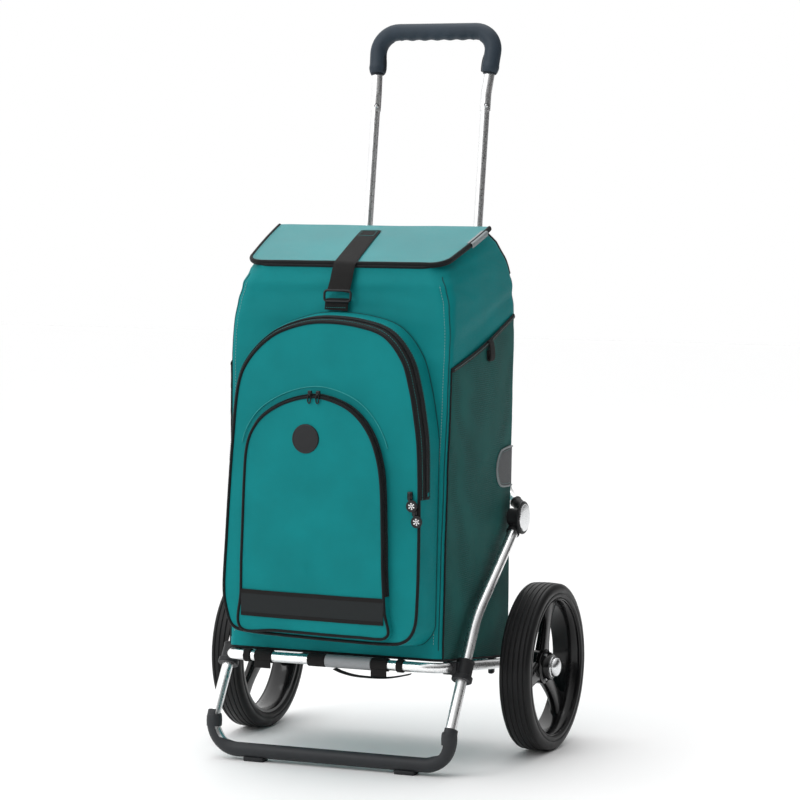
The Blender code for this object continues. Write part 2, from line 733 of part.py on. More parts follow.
def make_zips():
    face = POCKET_DEPTH + GAP
    for k, (x, z) in enumerate(((138.0, 405.0), (146.0, 383.0))):
        plate_on_front(f"zip_slider_{k + 1}", (x - 4.0, z - 6.0), (x + 4.0, z + 6.0),
                       face + GAP, 3.4, STEEL)
        top = (x, bag_front(z - 4.0) - face - 5.6, z - 4.0)
        disc_on_front(f"zip_pull_{k + 1}", (x + 4.5, z - 14.0), 8.5, face + 4.4, 2.4, PLASTIC, top,
                      20)
    face = POCKET_DEPTH + SMALL_DEPTH + 2 * GAP
    for k, x in enumerate((-15.0, -2.0)):
        pivot = (x, bag_front(545.0) - face - 1.8, 545.0)
        plate_on_front(f"zip_pull_{k + 3}", (x - 2.6, 530.0), (x + 2.6, 546.0), face + 0.4, 2.2,
                       PLASTIC, pivot)


def make_platform_straps():
    bands = (
        ("platform_strap_1", -136.0, -125.0, WEBBING),
        ("platform_strap_2", -118.0, -91.0, WEBBING),
        ("platform_strap_3", -33.0, -5.3, WEBBING),
        ("platform_wrap", -5.0, 67.0, REFLECTIVE),
        ("platform_strap_4", 67.3, 93.0, WEBBING),
        ("platform_strap_5", 107.0, 117.0, WEBBING),
    )
    inner = RAIL_R + GAP + 0.1
    for name, left, right, look in bands:
        lathe(name, ((left, inner), (left, inner + 1.5), (right, inner + 1.5), (right, inner)),
              look, 20, RAIL_FRONT)
    low = RAIL_FRONT[1] - inner - 1.5
    line = fillet(
        [
            (8.0, RAIL_FRONT[0], low - 2.0),
            (36.0, RAIL_FRONT[0], low - 9.0),
            (88.0, RAIL_FRONT[0], low - 9.5),
            (126.0, RAIL_FRONT[0], low - 1.0),
        ],
        (40.0, 40.0),
        3,
    )
    band = [(-0.8, -7.0), (0.8, -7.0), (0.8, 7.0), (-0.8, 7.0)]
    sweep("strap_tail", line, band, WEBBING, first=(0.0, 0.0, 1.0))


for old in list(bpy.data.objects):
    bpy.data.objects.remove(old, do_unlink=True)

ALUMINIUM = material("aluminium", (0.78, 0.79, 0.80), 0.32, 1.0)
STEEL = material("steel", (0.6, 0.6, 0.61), 0.3, 1.0)
CHROME = material("chrome", (0.8, 0.8, 0.8), 0.15, 1.0)
PLASTIC = material("black_plastic", (0.03, 0.03, 0.033), 0.45)
GLOSS = material("rim_plastic", (0.015, 0.015, 0.017), 0.18)
RUBBER = material("rubber", (0.035, 0.035, 0.035), 0.7)
GRIP = material("grip_plastic", (0.05, 0.06, 0.075), 0.5)
FABRIC = material("fabric", (0.01, 0.25, 0.26), 0.55)
FABRIC_LIGHT = material("fabric_flap", (0.05, 0.33, 0.35), 0.5)
MESH = material("mesh", (0.015, 0.06, 0.055), 0.7)
WEBBING = material("webbing", (0.02, 0.02, 0.02), 0.8)
REFLECTIVE = material("reflective", (0.35, 0.36, 0.37), 0.4)
TRIM_GREY = material("trim_grey", (0.45, 0.46, 0.47), 0.6)

for word, side in SIDES:
    make_wheel(word, side)
    make_knuckle(word, side)
make_stand()
make_platform()
make_handle()
make_bag()
make_lid()
make_zips()
make_platform_straps()
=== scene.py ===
"""The visible two-wheeled shopping trolley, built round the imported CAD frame."""

from math import atan2, cos, exp, pi, radians, sin, sqrt, tan

import bmesh
import bpy
from mathutils import Euler, Matrix, Vector, kdtree, noise


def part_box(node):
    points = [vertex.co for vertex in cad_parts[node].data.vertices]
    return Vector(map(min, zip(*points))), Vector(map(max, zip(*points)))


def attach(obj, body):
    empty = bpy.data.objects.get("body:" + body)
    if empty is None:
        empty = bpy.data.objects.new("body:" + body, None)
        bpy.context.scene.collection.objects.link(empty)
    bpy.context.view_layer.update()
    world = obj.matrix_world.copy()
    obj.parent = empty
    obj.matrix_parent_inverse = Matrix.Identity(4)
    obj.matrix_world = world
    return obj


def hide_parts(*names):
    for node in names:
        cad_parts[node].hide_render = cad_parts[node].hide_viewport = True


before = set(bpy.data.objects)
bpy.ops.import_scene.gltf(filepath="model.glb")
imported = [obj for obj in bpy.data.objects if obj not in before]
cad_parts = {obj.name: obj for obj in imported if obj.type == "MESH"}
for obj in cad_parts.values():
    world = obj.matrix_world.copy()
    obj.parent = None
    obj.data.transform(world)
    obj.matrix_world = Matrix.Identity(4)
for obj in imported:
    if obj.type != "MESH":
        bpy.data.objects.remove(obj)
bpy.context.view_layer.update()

MM = 0.001
SIDES = (("right", 1), ("left", -1))


def middle(node):
    low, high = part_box(node)
    return (low + high) / 2


AXLE_Y = middle("axle").y
AXLE_Z = middle("axle").z / MM


def at(x, y, z):
    """Millimetres from the axle's middle in Y, the floor in Z and the mid plane in X, as metres."""
    return Vector((x * MM, y * MM + AXLE_Y, z * MM))


# ---------------------------------------------------------------- materials


class Look:
    """A Principled material under construction."""

    def __init__(self, name, colour, rough, metal=0.0):
        self.mat = bpy.data.materials.new(name)
        self.mat.use_nodes = True
        self.mat.diffuse_color = (*colour, 1.0)
        self.tree = self.mat.node_tree
        self.shader = self.tree.nodes["Principled BSDF"]
        self.set("Base Color", (*colour, 1.0))
        self.set("Roughness", rough)
        self.set("Metallic", metal)
        self.coords = self.node("ShaderNodeTexCoord")

    def set(self, socket, value):
        self.shader.inputs[socket].default_value = value

    def node(self, kind, **values):
        made = self.tree.nodes.new(kind)
        for key, value in values.items():
            setattr(made, key, value)
        return made

    def link(self, out, into):
        self.tree.links.new(out, into)

    def math(self, how, a, b=None, clamp=False):
        made = self.node("ShaderNodeMath", operation=how, use_clamp=clamp)
        for i, value in enumerate((a, b)):
            if value is None:
                continue
            if isinstance(value, (int, float)):
                made.inputs[i].default_value = value
            else:
                self.link(value, made.inputs[i])
        return made.outputs[0]

    def noise(self, scale, detail=3.0, rough=0.55, stretch=None):
        source = self.coords.outputs["Object"]
        if stretch:
            shaped = self.node("ShaderNodeMapping")
            shaped.inputs["Scale"].default_value = stretch
            self.link(source, shaped.inputs["Vector"])
            source = shaped.outputs[0]
        made = self.node("ShaderNodeTexNoise")
        made.inputs["Scale"].default_value = scale
        made.inputs["Detail"].default_value = detail
        made.inputs["Roughness"].default_value = rough
        self.link(source, made.inputs["Vector"])
        return made.outputs["Fac"]

    def weave(self, pitch, over=1.0):
        """A woven height from threads `pitch` metres apart, laid on whichever axis faces out."""
        split = self.node("ShaderNodeSeparateXYZ")
        self.link(self.coords.outputs["Object"], split.inputs[0])
        normal = self.node("ShaderNodeSeparateXYZ")
        self.link(self.coords.outputs["Normal"], normal.inputs[0])
        waves = []
        for i in range(3):
            turned = self.math("MULTIPLY", split.outputs[i], 2 * pi / pitch * (over if i == 2 else 1))
            waves.append(self.math("SINE", turned))
        total = None
        for i in range(3):
            weight = self.math("MULTIPLY", normal.outputs[i], normal.outputs[i])
            pair = self.math("MULTIPLY", waves[(i + 1) % 3], waves[(i + 2) % 3])
            part = self.math("MULTIPLY", weight, pair)
            total = part if total is None else self.math("ADD", total, part)
        return total

    def ramp(self, source, stops):
        made = self.node("ShaderNodeValToRGB")
        ramp = made.color_ramp
        while len(ramp.elements) < len(stops):
            ramp.elements.new(0.5)
        for element, (place, colour) in zip(ramp.elements, stops):
            element.position = place
            element.color = (*colour, 1.0)
        self.link(source, made.inputs[0])
        return made.outputs[0]

    def spread(self, source, low, high, start=0.3, end=0.7):
        made = self.node("ShaderNodeMapRange")
        made.inputs["From Min"].default_value = start
        made.inputs["From Max"].default_value = end
        made.inputs["To Min"].default_value = low
        made.inputs["To Max"].default_value = high
        self.link(source, made.inputs["Value"])
        return made.outputs[0]

    def bumps(self, *layers):
        """Bump layers of (height, strength, depth in metres), one over the other."""
        last = None
        for height, strength, depth in layers:
            made = self.node("ShaderNodeBump")
            made.inputs["Strength"].default_value = strength
            made.inputs["Distance"].default_value = depth
            self.link(height, made.inputs["Height"])
            if last is not None:
                self.link(last, made.inputs["Normal"])
            last = made.outputs[0]
        self.link(last, self.shader.inputs["Normal"])


def shade(colour, factor):
    return tuple(min(1.0, c * factor) for c in colour)


def coated_fabric(name, colour, rough=0.5, pitch=0.0007, gloss=0.08):
    look = Look(name, colour, rough)
    weave = look.weave(pitch)
    cloud = look.noise(9.0, 4.0)
    fine = look.noise(700.0, 2.0)
    tone = look.ramp(cloud, ((0.3, shade(colour, 0.88)), (0.7, shade(colour, 1.1))))
    mix = look.node("ShaderNodeMix", data_type="RGBA", blend_type="MULTIPLY")
    mix.inputs["Factor"].default_value = 0.5
    look.link(tone, mix.inputs["A"])
    threads = look.ramp(look.spread(weave, 0.0, 1.0, -1.0, 1.0),
                        ((0.0, (0.8, 0.8, 0.8)), (1.0, (1.0, 1.0, 1.0))))
    look.link(threads, mix.inputs["B"])
    look.link(mix.outputs["Result"], look.shader.inputs["Base Color"])
    look.link(look.spread(fine, rough - 0.07, rough + 0.08), look.shader.inputs["Roughness"])
    look.set("Sheen Weight", 0.005)
    look.set("Sheen Roughness", 0.5)
    look.set("Specular IOR Level", gloss)
    look.bumps((cloud, 0.25, 0.004), (weave, 0.35, 0.00012), (fine, 0.2, 0.0001))
    return look.mat


def mesh_fabric(name, colour, back):
    """A knitted mesh over a lining: rows of small holes."""
    look = Look(name, colour, 0.7)
    holes = look.node("ShaderNodeTexVoronoi", feature="F1", distance="EUCLIDEAN")
    holes.inputs["Scale"].default_value = 330.0
    holes.inputs["Randomness"].default_value = 0.12
    look.link(look.coords.outputs["Object"], holes.inputs["Vector"])
    ring = look.spread(holes.outputs["Distance"], 0.0, 1.0, 0.22, 0.42)
    cloud = look.noise(12.0, 3.0)
    mix = look.node("ShaderNodeMix", data_type="RGBA")
    look.link(ring, mix.inputs["Factor"])
    mix.inputs["A"].default_value = (*back, 1.0)
    look.link(look.ramp(cloud, ((0.3, shade(colour, 0.85)), (0.7, shade(colour, 1.15)))),
              mix.inputs["B"])
    look.link(mix.outputs["Result"], look.shader.inputs["Base Color"])
    look.set("Specular IOR Level", 0.12)
    look.set("Sheen Weight", 0.03)
    look.bumps((cloud, 0.3, 0.004), (ring, 0.6, 0.0004))
    return look.mat


def webbing_look(name, colour, rib=0.0016, rough=0.75):
    look = Look(name, colour, rough)
    look.set("Specular IOR Level", 0.16)
    weave = look.weave(rib, 0.6)
    fine = look.noise(900.0, 2.0)
    look.link(look.ramp(look.spread(weave, 0.0, 1.0, -1.0, 1.0),
                        ((0.0, shade(colour, 0.6)), (1.0, shade(colour, 1.35)))),
              look.shader.inputs["Base Color"])
    look.set("Sheen Weight", 0.03)
    look.bumps((weave, 0.7, 0.0003), (fine, 0.3, 0.0001))
    return look.mat


def moulded(name, colour, rough, grain=1500.0, depth=0.00006, coat=0.0):
    look = Look(name, colour, rough)
    fine = look.noise(grain, 3.0)
    wear = look.noise(26.0, 4.0, 0.65)
    look.link(look.ramp(wear, ((0.3, shade(colour, 0.85)), (0.75, shade(colour, 1.25)))),
              look.shader.inputs["Base Color"])
    look.link(look.spread(wear, rough - 0.05, rough + 0.09), look.shader.inputs["Roughness"])
    look.set("Coat Weight", coat)
    look.set("Coat Roughness", 0.08)
    look.set("Specular IOR Level", 0.24)
    look.bumps((fine, 0.35, depth))
    return look.mat


def drawn_metal(name, colour, rough, lengthwise=(1.0, 1.0, 1.0)):
    look = Look(name, colour, rough, 1.0)
    lines = look.noise(420.0, 3.0, 0.6, lengthwise)
    cloud = look.noise(30.0, 3.0)
    look.link(look.ramp(cloud, ((0.25, shade(colour, 0.94)), (0.8, shade(colour, 1.04)))),
              look.shader.inputs["Base Color"])
    look.link(look.spread(lines, rough - 0.06, rough + 0.08), look.shader.inputs["Roughness"])
    look.bumps((lines, 0.08, 0.00003))
    return look.mat


def rubber_look(name, colour, rough):
    look = Look(name, colour, rough)
    fine = look.noise(1100.0, 3.0)
    dust = look.noise(18.0, 5.0, 0.7)
    look.link(look.ramp(dust, ((0.35, colour), (0.8, shade(colour, 1.5)))),
              look.shader.inputs["Base Color"])
    look.link(look.spread(dust, rough - 0.08, rough + 0.1), look.shader.inputs["Roughness"])
    look.set("Specular IOR Level", 0.22)
    look.bumps((fine, 0.4, 0.00008))
    return look.mat


def reflective_look(name, colour):
    look = Look(name, colour, 0.45)
    weave = look.weave(0.0022)
    fine = look.noise(1400.0, 2.0)
    look.link(look.ramp(look.spread(weave, 0.0, 1.0, -1.0, 1.0),
                        ((0.25, shade(colour, 0.8)), (0.8, shade(colour, 1.15)))),
              look.shader.inputs["Base Color"])
    look.set("Metallic", 0.1)
    look.set("Specular IOR Level", 0.16)
    look.bumps((weave, 0.4, 0.00015), (fine, 0.3, 0.00006))
    return look.mat


TEAL = (0.004, 0.215, 0.225)
FABRIC = coated_fabric("coated_fabric_teal", TEAL)
# The flap is the same teal fabric as the body, its colour made a little lighter: painted light for the
# light falling on the flap's top.
FABRIC_FLAP_PAINTED_LIT = coated_fabric("coated_fabric_flap_painted_lighter", (0.008, 0.235, 0.25), 0.36, 0.0007, 0.36)
LINING = coated_fabric("lining_grey", (0.22, 0.23, 0.24), 0.6, 0.0012)
MESH = mesh_fabric("side_mesh_green", (0.009, 0.092, 0.084), (0.003, 0.045, 0.042))
BLACK_WEB = webbing_look("webbing_black", (0.012, 0.0115, 0.0115))
PIPING = webbing_look("piping_black", (0.007, 0.008, 0.009), 0.0009, 0.55)
# Dark teal, used for the bag's front edge piping and for a painted shade line round the front pocket's
# base.
DARK_TEAL_EDGE_AND_SHADE = webbing_look("edge_dark_teal_and_painted_shade", (0.004, 0.07, 0.072), 0.0009, 0.6)
TAPE = webbing_look("zip_tape", (0.02, 0.021, 0.022), 0.0008, 0.8)
COIL = moulded("zip_coil", (0.03, 0.03, 0.032), 0.35)
THREAD = moulded("thread_teal", (0.03, 0.30, 0.30), 0.7)
THREAD_PALE = moulded("thread_pale", (0.20, 0.33, 0.32), 0.7)
PLASTIC = moulded("plastic_black", (0.016, 0.0165, 0.018), 0.42)
BUMPER = moulded("plastic_bumper", (0.028, 0.030, 0.033), 0.45, 1200.0, 0.0001)
GLOSS = moulded("rim_gloss_black", (0.004, 0.004, 0.0045), 0.2, 500.0, 0.00001, 0.25)
GRIP = moulded("grip_blue_grey", (0.026, 0.038, 0.052), 0.5, 1300.0, 0.00012)
GRIP_DARK = moulded("grip_dark", (0.012, 0.016, 0.022), 0.55, 1300.0, 0.00012)
ALUMINIUM = drawn_metal("aluminium_satin", (0.96, 0.962, 0.965), 0.3)
STEEL = drawn_metal("steel_plated", (0.62, 0.62, 0.63), 0.28)
CHROME = drawn_metal("cap_silver", (0.80, 0.81, 0.82), 0.24)
RUBBER = rubber_look("tyre_rubber", (0.007, 0.007, 0.0075), 0.42)
PAD = rubber_look("pad_rubber", (0.02, 0.021, 0.023), 0.7)
BAND = reflective_look("reflective_dark", (0.017, 0.020, 0.021))
WRAP = reflective_look("reflective_grey", (0.30, 0.31, 0.32))
PATCH = coated_fabric("patch_grey", (0.13, 0.135, 0.14), 0.55, 0.001)
PALE = coated_fabric("trim_pale", (0.30, 0.33, 0.34), 0.45, 0.0008)
WHITE = moulded("print_white", (0.85, 0.86, 0.86), 0.45)


# ---------------------------------------------------------------- mesh tools


def piece(name, points, faces, look, body, slot, replaces=(), smooth=True, sharp=40.0):
    """A mesh object from points in millimetres, riding on a body."""
    mesh = bpy.data.meshes.new(name)
    build = bmesh.new()
    made = [build.verts.new(at(*p)) for p in points]
    for face in faces:
        try:
            build.faces.new([made[i] for i in face])
        except ValueError:
            pass
    bmesh.ops.recalc_face_normals(build, faces=build.faces[:])
    build.to_mesh(mesh)
    build.free()
    if smooth:
        mesh.shade_smooth()
        mesh.set_sharp_from_angle(angle=radians(sharp))
    obj = bpy.data.objects.new(name, mesh)
    bpy.context.scene.collection.objects.link(obj)
    mesh.materials.append(look)
    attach(obj, body)
    if replaces:
        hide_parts(*replaces)
    return obj


def fillet(points, radii, steps=10):
    path = [Vector(p) for p in points]
    out = [path[0]]
    for before, corner, after, radius in zip(path, path[1:], path[2:], radii):
        back = (before - corner).normalized()
        ahead = (after - corner).normalized()
        half = back.angle(ahead) / 2
        centre = corner + (back + ahead).normalized() * (radius / sin(half))
        start = corner + back * (radius / tan(half)) - centre
        end = corner + ahead * (radius / tan(half)) - centre
        turn = start.angle(end)
        for k in range(steps + 1):
            t = k / steps
            out.append(centre + (start * sin((1 - t) * turn) + end * sin(t * turn)) / sin(turn))
    out.append(path[-1])
    return out


def resample(path, step, closed=False):
    """Points a step apart along a polyline."""
    pts = [Vector(p) for p in path]
    if closed:
        pts.append(pts[0])
    lengths = [0.0]
    for a, b in zip(pts, pts[1:]):
        lengths.append(lengths[-1] + (b - a).length)
    count = max(2, int(round(lengths[-1] / step)))
    out = []
    i = 0
    for k in range(count if closed else count + 1):
        want = lengths[-1] * k / count
        while i < len(pts) - 2 and lengths[i + 1] < want:
            i += 1
        span = lengths[i + 1] - lengths[i]
        out.append(pts[i].lerp(pts[i + 1], (want - lengths[i]) / span if span else 0.0))
    return out


def mirrored(path):
    return [Vector((-p.x, p.y, p.z)) for p in path] + list(reversed(path))


def frames(path, first, closed=False):
    out = []
    normal = Vector(first)
    count = len(path)
    for i, point in enumerate(path):
        if closed:
            ahead = path[(i + 1) % count] - point
            back = point - path[i - 1]
        else:
            ahead = path[min(i + 1, count - 1)] - point
            back = point - path[max(i - 1, 0)]
        tangent = (ahead.normalized() + back.normalized()).normalized()
        normal = (normal - tangent * normal.dot(tangent)).normalized()
        out.append((tangent, normal, tangent.cross(normal)))
    return out


def loop_faces(rows, cols, offset=0, wrap=True, close_rows=False):
    faces = []
    for r in range(rows if close_rows else rows - 1):
        s = (r + 1) % rows
        for c in range(cols if wrap else cols - 1):
            d = (c + 1) % cols
            faces.append((offset + r * cols + c, offset + r * cols + d,
                          offset + s * cols + d, offset + s * cols + c))
    return faces


def circle(radius, count=28, squash=1.0):
    return [(radius * cos(2 * pi * k / count), radius * squash * sin(2 * pi * k / count))
            for k in range(count)]


def sweep_data(path, profile, first, closed=False, scale=None, offset=0):
    points = []
    for i, (point, (_, normal, side)) in enumerate(zip(path, frames(path, first, closed))):
        grow = scale(i / (len(path) - 1)) if scale else 1.0
        points += [point + normal * (a * grow) + side * (b * grow) for a, b in profile]
    count = len(profile)
    faces = loop_faces(len(path), count, offset, True, closed)
    if not closed:
        faces.append(tuple(range(offset, offset + count)))
        faces.append(tuple(range(offset + (len(path) - 1) * count, offset + len(path) * count)))
    return points, faces


def merge(*parts):
    """Several (points, faces) as one."""
    points = []
    faces = []
    for some, more in parts:
        faces += [tuple(i + len(points) for i in face) for face in more]
        points += some
    return points, faces


def tube(path, radius, first=(0.0, 1.0, 0.0), count=28, closed=False):
    """A round bar with softly broken ends."""
    path = [Vector(p) for p in path]
    if closed:
        return sweep_data(path, circle(radius, count), first, True)
    start = (path[1] - path[0]).normalized()
    end = (path[-1] - path[-2]).normalized()
    lip = min(0.8, radius * 0.3)
    path = [path[0], path[0] + start * lip] + path[1:-1] + [path[-1] - end * lip, path[-1]]
    shrink = 1.0 - lip / radius
    last = len(path) - 1

    def grow(t):
        return shrink if t < 0.5 / last or t > 1 - 0.5 / last else 1.0

    return sweep_data(path, circle(radius, count), first, False, grow)


def turned(profile, centre, count=96, closed=True):
    """A profile of (x, radius) about the X axis through centre (y, z)."""
    points = []
    rows = []
    for x, radius in profile:
        rows.append((len(points), radius > 1e-6))
        if radius > 1e-6:
            points += [Vector((x, centre[0] + a, centre[1] + b)) for a, b in circle(radius, count)]
        else:
            points.append(Vector((x, centre[0], centre[1])))
    faces = []
    for (a, a_ring), (b, b_ring) in zip(rows, rows[1:] + rows[:1] if closed else rows[1:]):
        for c in range(count):
            d = (c + 1) % count
            if a_ring and b_ring:
                faces.append((a + c, a + d, b + d, b + c))
            elif a_ring:
                faces.append((a + c, a + d, b))
            elif b_ring:
                faces.append((a, b + d, b + c))
    return points, faces


def rounded_box(low, high, radius, seg=3):
    """A box with rounded edges."""
    build = bmesh.new()
    bmesh.ops.create_cube(build, size=1.0)
    for v in build.verts:
        v.co = Vector([(lo + hi) / 2 + c * (hi - lo) for lo, hi, c in zip(low, high, v.co)])
    bmesh.ops.bevel(build, geom=build.edges[:], offset=radius, segments=seg, affect="EDGES",
                    profile=0.5)
    build.verts.index_update()
    data = [v.co.copy() for v in build.verts], [tuple(v.index for v in f.verts) for f in build.faces]
    build.free()
    return data


def turn_about(data, pivot, matrix):
    pivot = Vector(pivot)
    return [matrix @ (Vector(p) - pivot) + pivot for p in data[0]], data[1]


def bake(obj):
    """Modifiers applied."""
    bpy.context.view_layer.update()
    evaluated = obj.evaluated_get(bpy.context.evaluated_depsgraph_get())
    mesh = bpy.data.meshes.new_from_object(evaluated)
    old = obj.data
    obj.modifiers.clear()
    obj.data = mesh
    bpy.data.meshes.remove(old)


def melted(obj, voxel=0.9, rounds=6):
    """Overlapping closed shapes made one moulding with soft joints."""
    step = obj.modifiers.new("voxels", "REMESH")
    step.mode = "VOXEL"
    step.voxel_size = voxel * MM
    ease = obj.modifiers.new("ease", "SMOOTH")
    ease.iterations = rounds
    ease.factor = 0.5
    bake(obj)
    obj.data.shade_smooth()
    return obj


def stitches(path, out, pitch=3.4, length=2.3, radius=0.32):
    """A run of thread, each stitch a small capsule lying on the surface whose normal is out(p)."""
    dots = resample(path, pitch)
    parts = []
    for a, b in zip(dots, dots[1:]):
        along = (b - a).normalized()
        up = out(a) if callable(out) else Vector(out)
        side = along.cross(up).normalized()
        start = a.lerp(b, 0.5) - along * length / 2
        points = []
        rows = ((0.0, 0.35), (0.15, 1.0), (0.85, 1.0), (1.0, 0.35))
        for t, grow in rows:
            for k in range(6):
                turn = 2 * pi * k / 6
                points.append(start + along * length * t
                              + (side * cos(turn) + up * sin(turn)) * radius * grow)
        faces = loop_faces(4, 6)
        faces += [tuple(range(6)), tuple(range(18, 24))]
        parts.append((points, faces))
    return merge(*parts)


def hills(p, size, seed=0.0):
    """Smooth noise, about -1 to 1, at a feature size in millimetres."""
    return noise.noise(Vector((p[0] / size + seed, p[1] / size - seed, p[2] / size + 2 * seed)))


# ---------------------------------------------------------------- shared sizes, millimetres

STAND_X = 187.0
STAND_R = 8.0
STAND_TOP = (10.7, 332.85)
STAND_BEND = (-148.0, 219.0)
STAND_FOOT = (-250.0, 62.0)
FOOT_Y = -250.0
FOOT_Z = 15.5
RAIL_X = 168.0
RAIL_R = 7.5
RAIL_FRONT = (-250.0, 156.0)
KNUCKLE = (8.0, 345.0)
HANDLE_ROOT = (37.0, 354.5)
HANDLE_KNEE = (152.0, 62.0, 376.0)
HANDLE_NECK = (81.0, 700.0)
GRIP_TUBE_X = 91.0
SLEEVE_Z = 950.0
GRIP_CORNER = (98.0, 152.0, 1072.0)
RIDGE = (-56.0, 781.0)
LIP = (-196.0, 731.5)


def on_line(start, end, share):
    return tuple(a + (b - a) * share for a, b in zip(start, end))


def bag_front(z):
    return -242.0 + (z - 165.0) * 22.0 / 416.0


def flap_top(y):
    return RIDGE[1] + (y - RIDGE[0]) * (RIDGE[1] - LIP[1]) / (RIDGE[0] - LIP[0])


# ---------------------------------------------------------------- wheels


def tyre_profile():
    """Outline of the tyre about its middle: crowned tread with grooves, round shoulders."""
    top = []
    grooves = (-15.5, -8.0, 0.0, 8.0, 15.5)
    x = -19.0
    while x <= 19.001:
        r = 125.0 - 1.1 * (x / 19.0) ** 2
        depth = sum(1.7 * exp(-((x - g) / 0.85) ** 4) for g in grooves)
        top.append((x, r - depth))
        x += 0.5
    left = [(-21.2, 103.2), (-22.6, 103.6), (-23.5, 105.5), (-23.6, 109.0), (-22.9, 110.2),
            (-23.75, 112.0), (-23.7, 116.0), (-22.8, 119.6), (-21.3, 122.2), (-19.8, 123.5)]
    right = [(-x, r) for x, r in reversed(left)]
    return left + top + right


def super_section(x_mid, x_half, w_half, power=3.2, count=28):
    out = []
    for k in range(count):
        turn = 2 * pi * k / count
        c, s = cos(turn), sin(turn)
        out.append((x_mid + x_half * abs(c) ** (2 / power) * (1 if c >= 0 else -1),
                    w_half * abs(s) ** (2 / power) * (1 if s >= 0 else -1)))
    return out


def spoke_data(side, angle):
    """A spoke that widens into a rounded pad at the rim."""
    rows = ((12.0, 231.0, 8.2, 17.0), (26.0, 231.0, 8.0, 15.0), (38.0, 231.0, 7.6, 12.8),
            (55.0, 231.5, 7.0, 11.6), (70.0, 232.0, 6.8, 12.4), (82.0, 232.5, 7.0, 15.0),
            (90.0, 233.0, 7.6, 19.0), (95.0, 233.0, 8.4, 22.0), (98.6, 233.0, 9.0, 24.0))
    turn = radians(angle)
    points = []
    for r, mid, half, wide in rows:
        for x, w in super_section(mid, half, wide):
            points.append(Vector((side * x, r * cos(turn) - w * sin(turn),
                                  AXLE_Z + r * sin(turn) + w * cos(turn))))
    count = 28
    faces = loop_faces(len(rows), count)
    faces += [tuple(range(count)), tuple(range(len(points) - count, len(points)))]
    return points, faces


def make_wheel(word, side, angles):
    centre = (0.0, AXLE_Z)
    mid = side * (210.5 + 258.0) / 2
    body = f"wheel_{word}"
    outline = [(mid + side * x, r) for x, r in tyre_profile()]
    piece(f"tyre_skin_{word}", *turned(outline, centre, 128), RUBBER, body, "rubber",
          [f"tyre_{word}"], sharp=50)
    barrel = [(213.8, 102.6), (213.2, 101.8), (213.8, 97.6), (216.0, 96.6), (238.0, 96.4),
              (243.0, 97.0), (251.5, 99.2), (252.6, 100.4), (255.6, 100.6), (256.4, 101.4),
              (255.8, 102.6)]
    hub = [(208.8, 0.0), (208.8, 15.5), (210.0, 17.0), (221.0, 19.0), (224.0, 25.5),
           (226.0, 26.5), (237.0, 26.5), (239.0, 25.6), (240.0, 22.5), (241.0, 21.2),
           (247.6, 19.6), (249.6, 18.4), (250.0, 16.4), (250.0, 0.0)]
    rim = piece(f"rim_skin_{word}", *turned([(side * x, r) for x, r in barrel], centre, 128),
                GLOSS, body, "rim_plastic", [f"rim_{word}"], sharp=35)
    parts = [turned([(side * x, r) for x, r in hub], centre, 72, False)]
    parts += [spoke_data(side, angle) for angle in angles]
    helpers = []
    for k, data in enumerate(parts):
        helper = piece(f"tmp_{word}_{k}", *data, GLOSS, body, "rim_plastic")
        step = rim.modifiers.new(f"join{k}", "BOOLEAN")
        step.operation = "UNION"
        step.solver = "EXACT"
        step.object = helper
        helpers.append(helper)
    bake(rim)
    for helper in helpers:
        bpy.data.objects.remove(helper)
    rim.data.shade_smooth()
    rim.data.set_sharp_from_angle(angle=radians(38))
    cap = [(249.4, 0.0), (249.4, 15.6), (251.0, 15.8), (252.2, 14.9), (255.0, 14.6),
           (257.8, 13.4), (259.6, 11.0), (260.8, 7.4), (261.4, 3.4), (261.5, 0.0)]
    piece(f"hub_cap_skin_{word}", *turned([(side * x, r) for x, r in cap], centre, 64, False),
          CHROME, body, "chrome", [f"hub_cap_{word}"], sharp=30)
    clips = []
    for angle in (58.0, 118.0, 238.0, 298.0):
        turn = radians(angle)
        y, z = 20.6 * cos(turn), AXLE_Z + 20.6 * sin(turn)
        low = (min(side * 239.5, side * 245.0), y - 2.4, z - 1.6)
        high = (max(side * 239.5, side * 245.0), y + 2.4, z + 1.6)
        clips.append(turn_about(rounded_box(low, high, 0.8),
                                ((low[0] + high[0]) / 2, y, z),
                                Matrix.Rotation(turn + pi / 2, 3, "X")))
    piece(f"hub_clips_{word}", *merge(*clips), STEEL, body, "steel")


make_wheel("right", 1, (75, 195, 315))
make_wheel("left", -1, (105, 225, 345))


# ---------------------------------------------------------------- stand, platform, knuckles


def stand_path():
    return fillet(
        [
            (STAND_X, *STAND_TOP),
            (STAND_X, *STAND_BEND),
            (STAND_X, *STAND_FOOT),
            (STAND_X, FOOT_Y, FOOT_Z),
            (0.0, FOOT_Y, FOOT_Z),
        ],
        (120.0, 24.0, 38.0),
    )


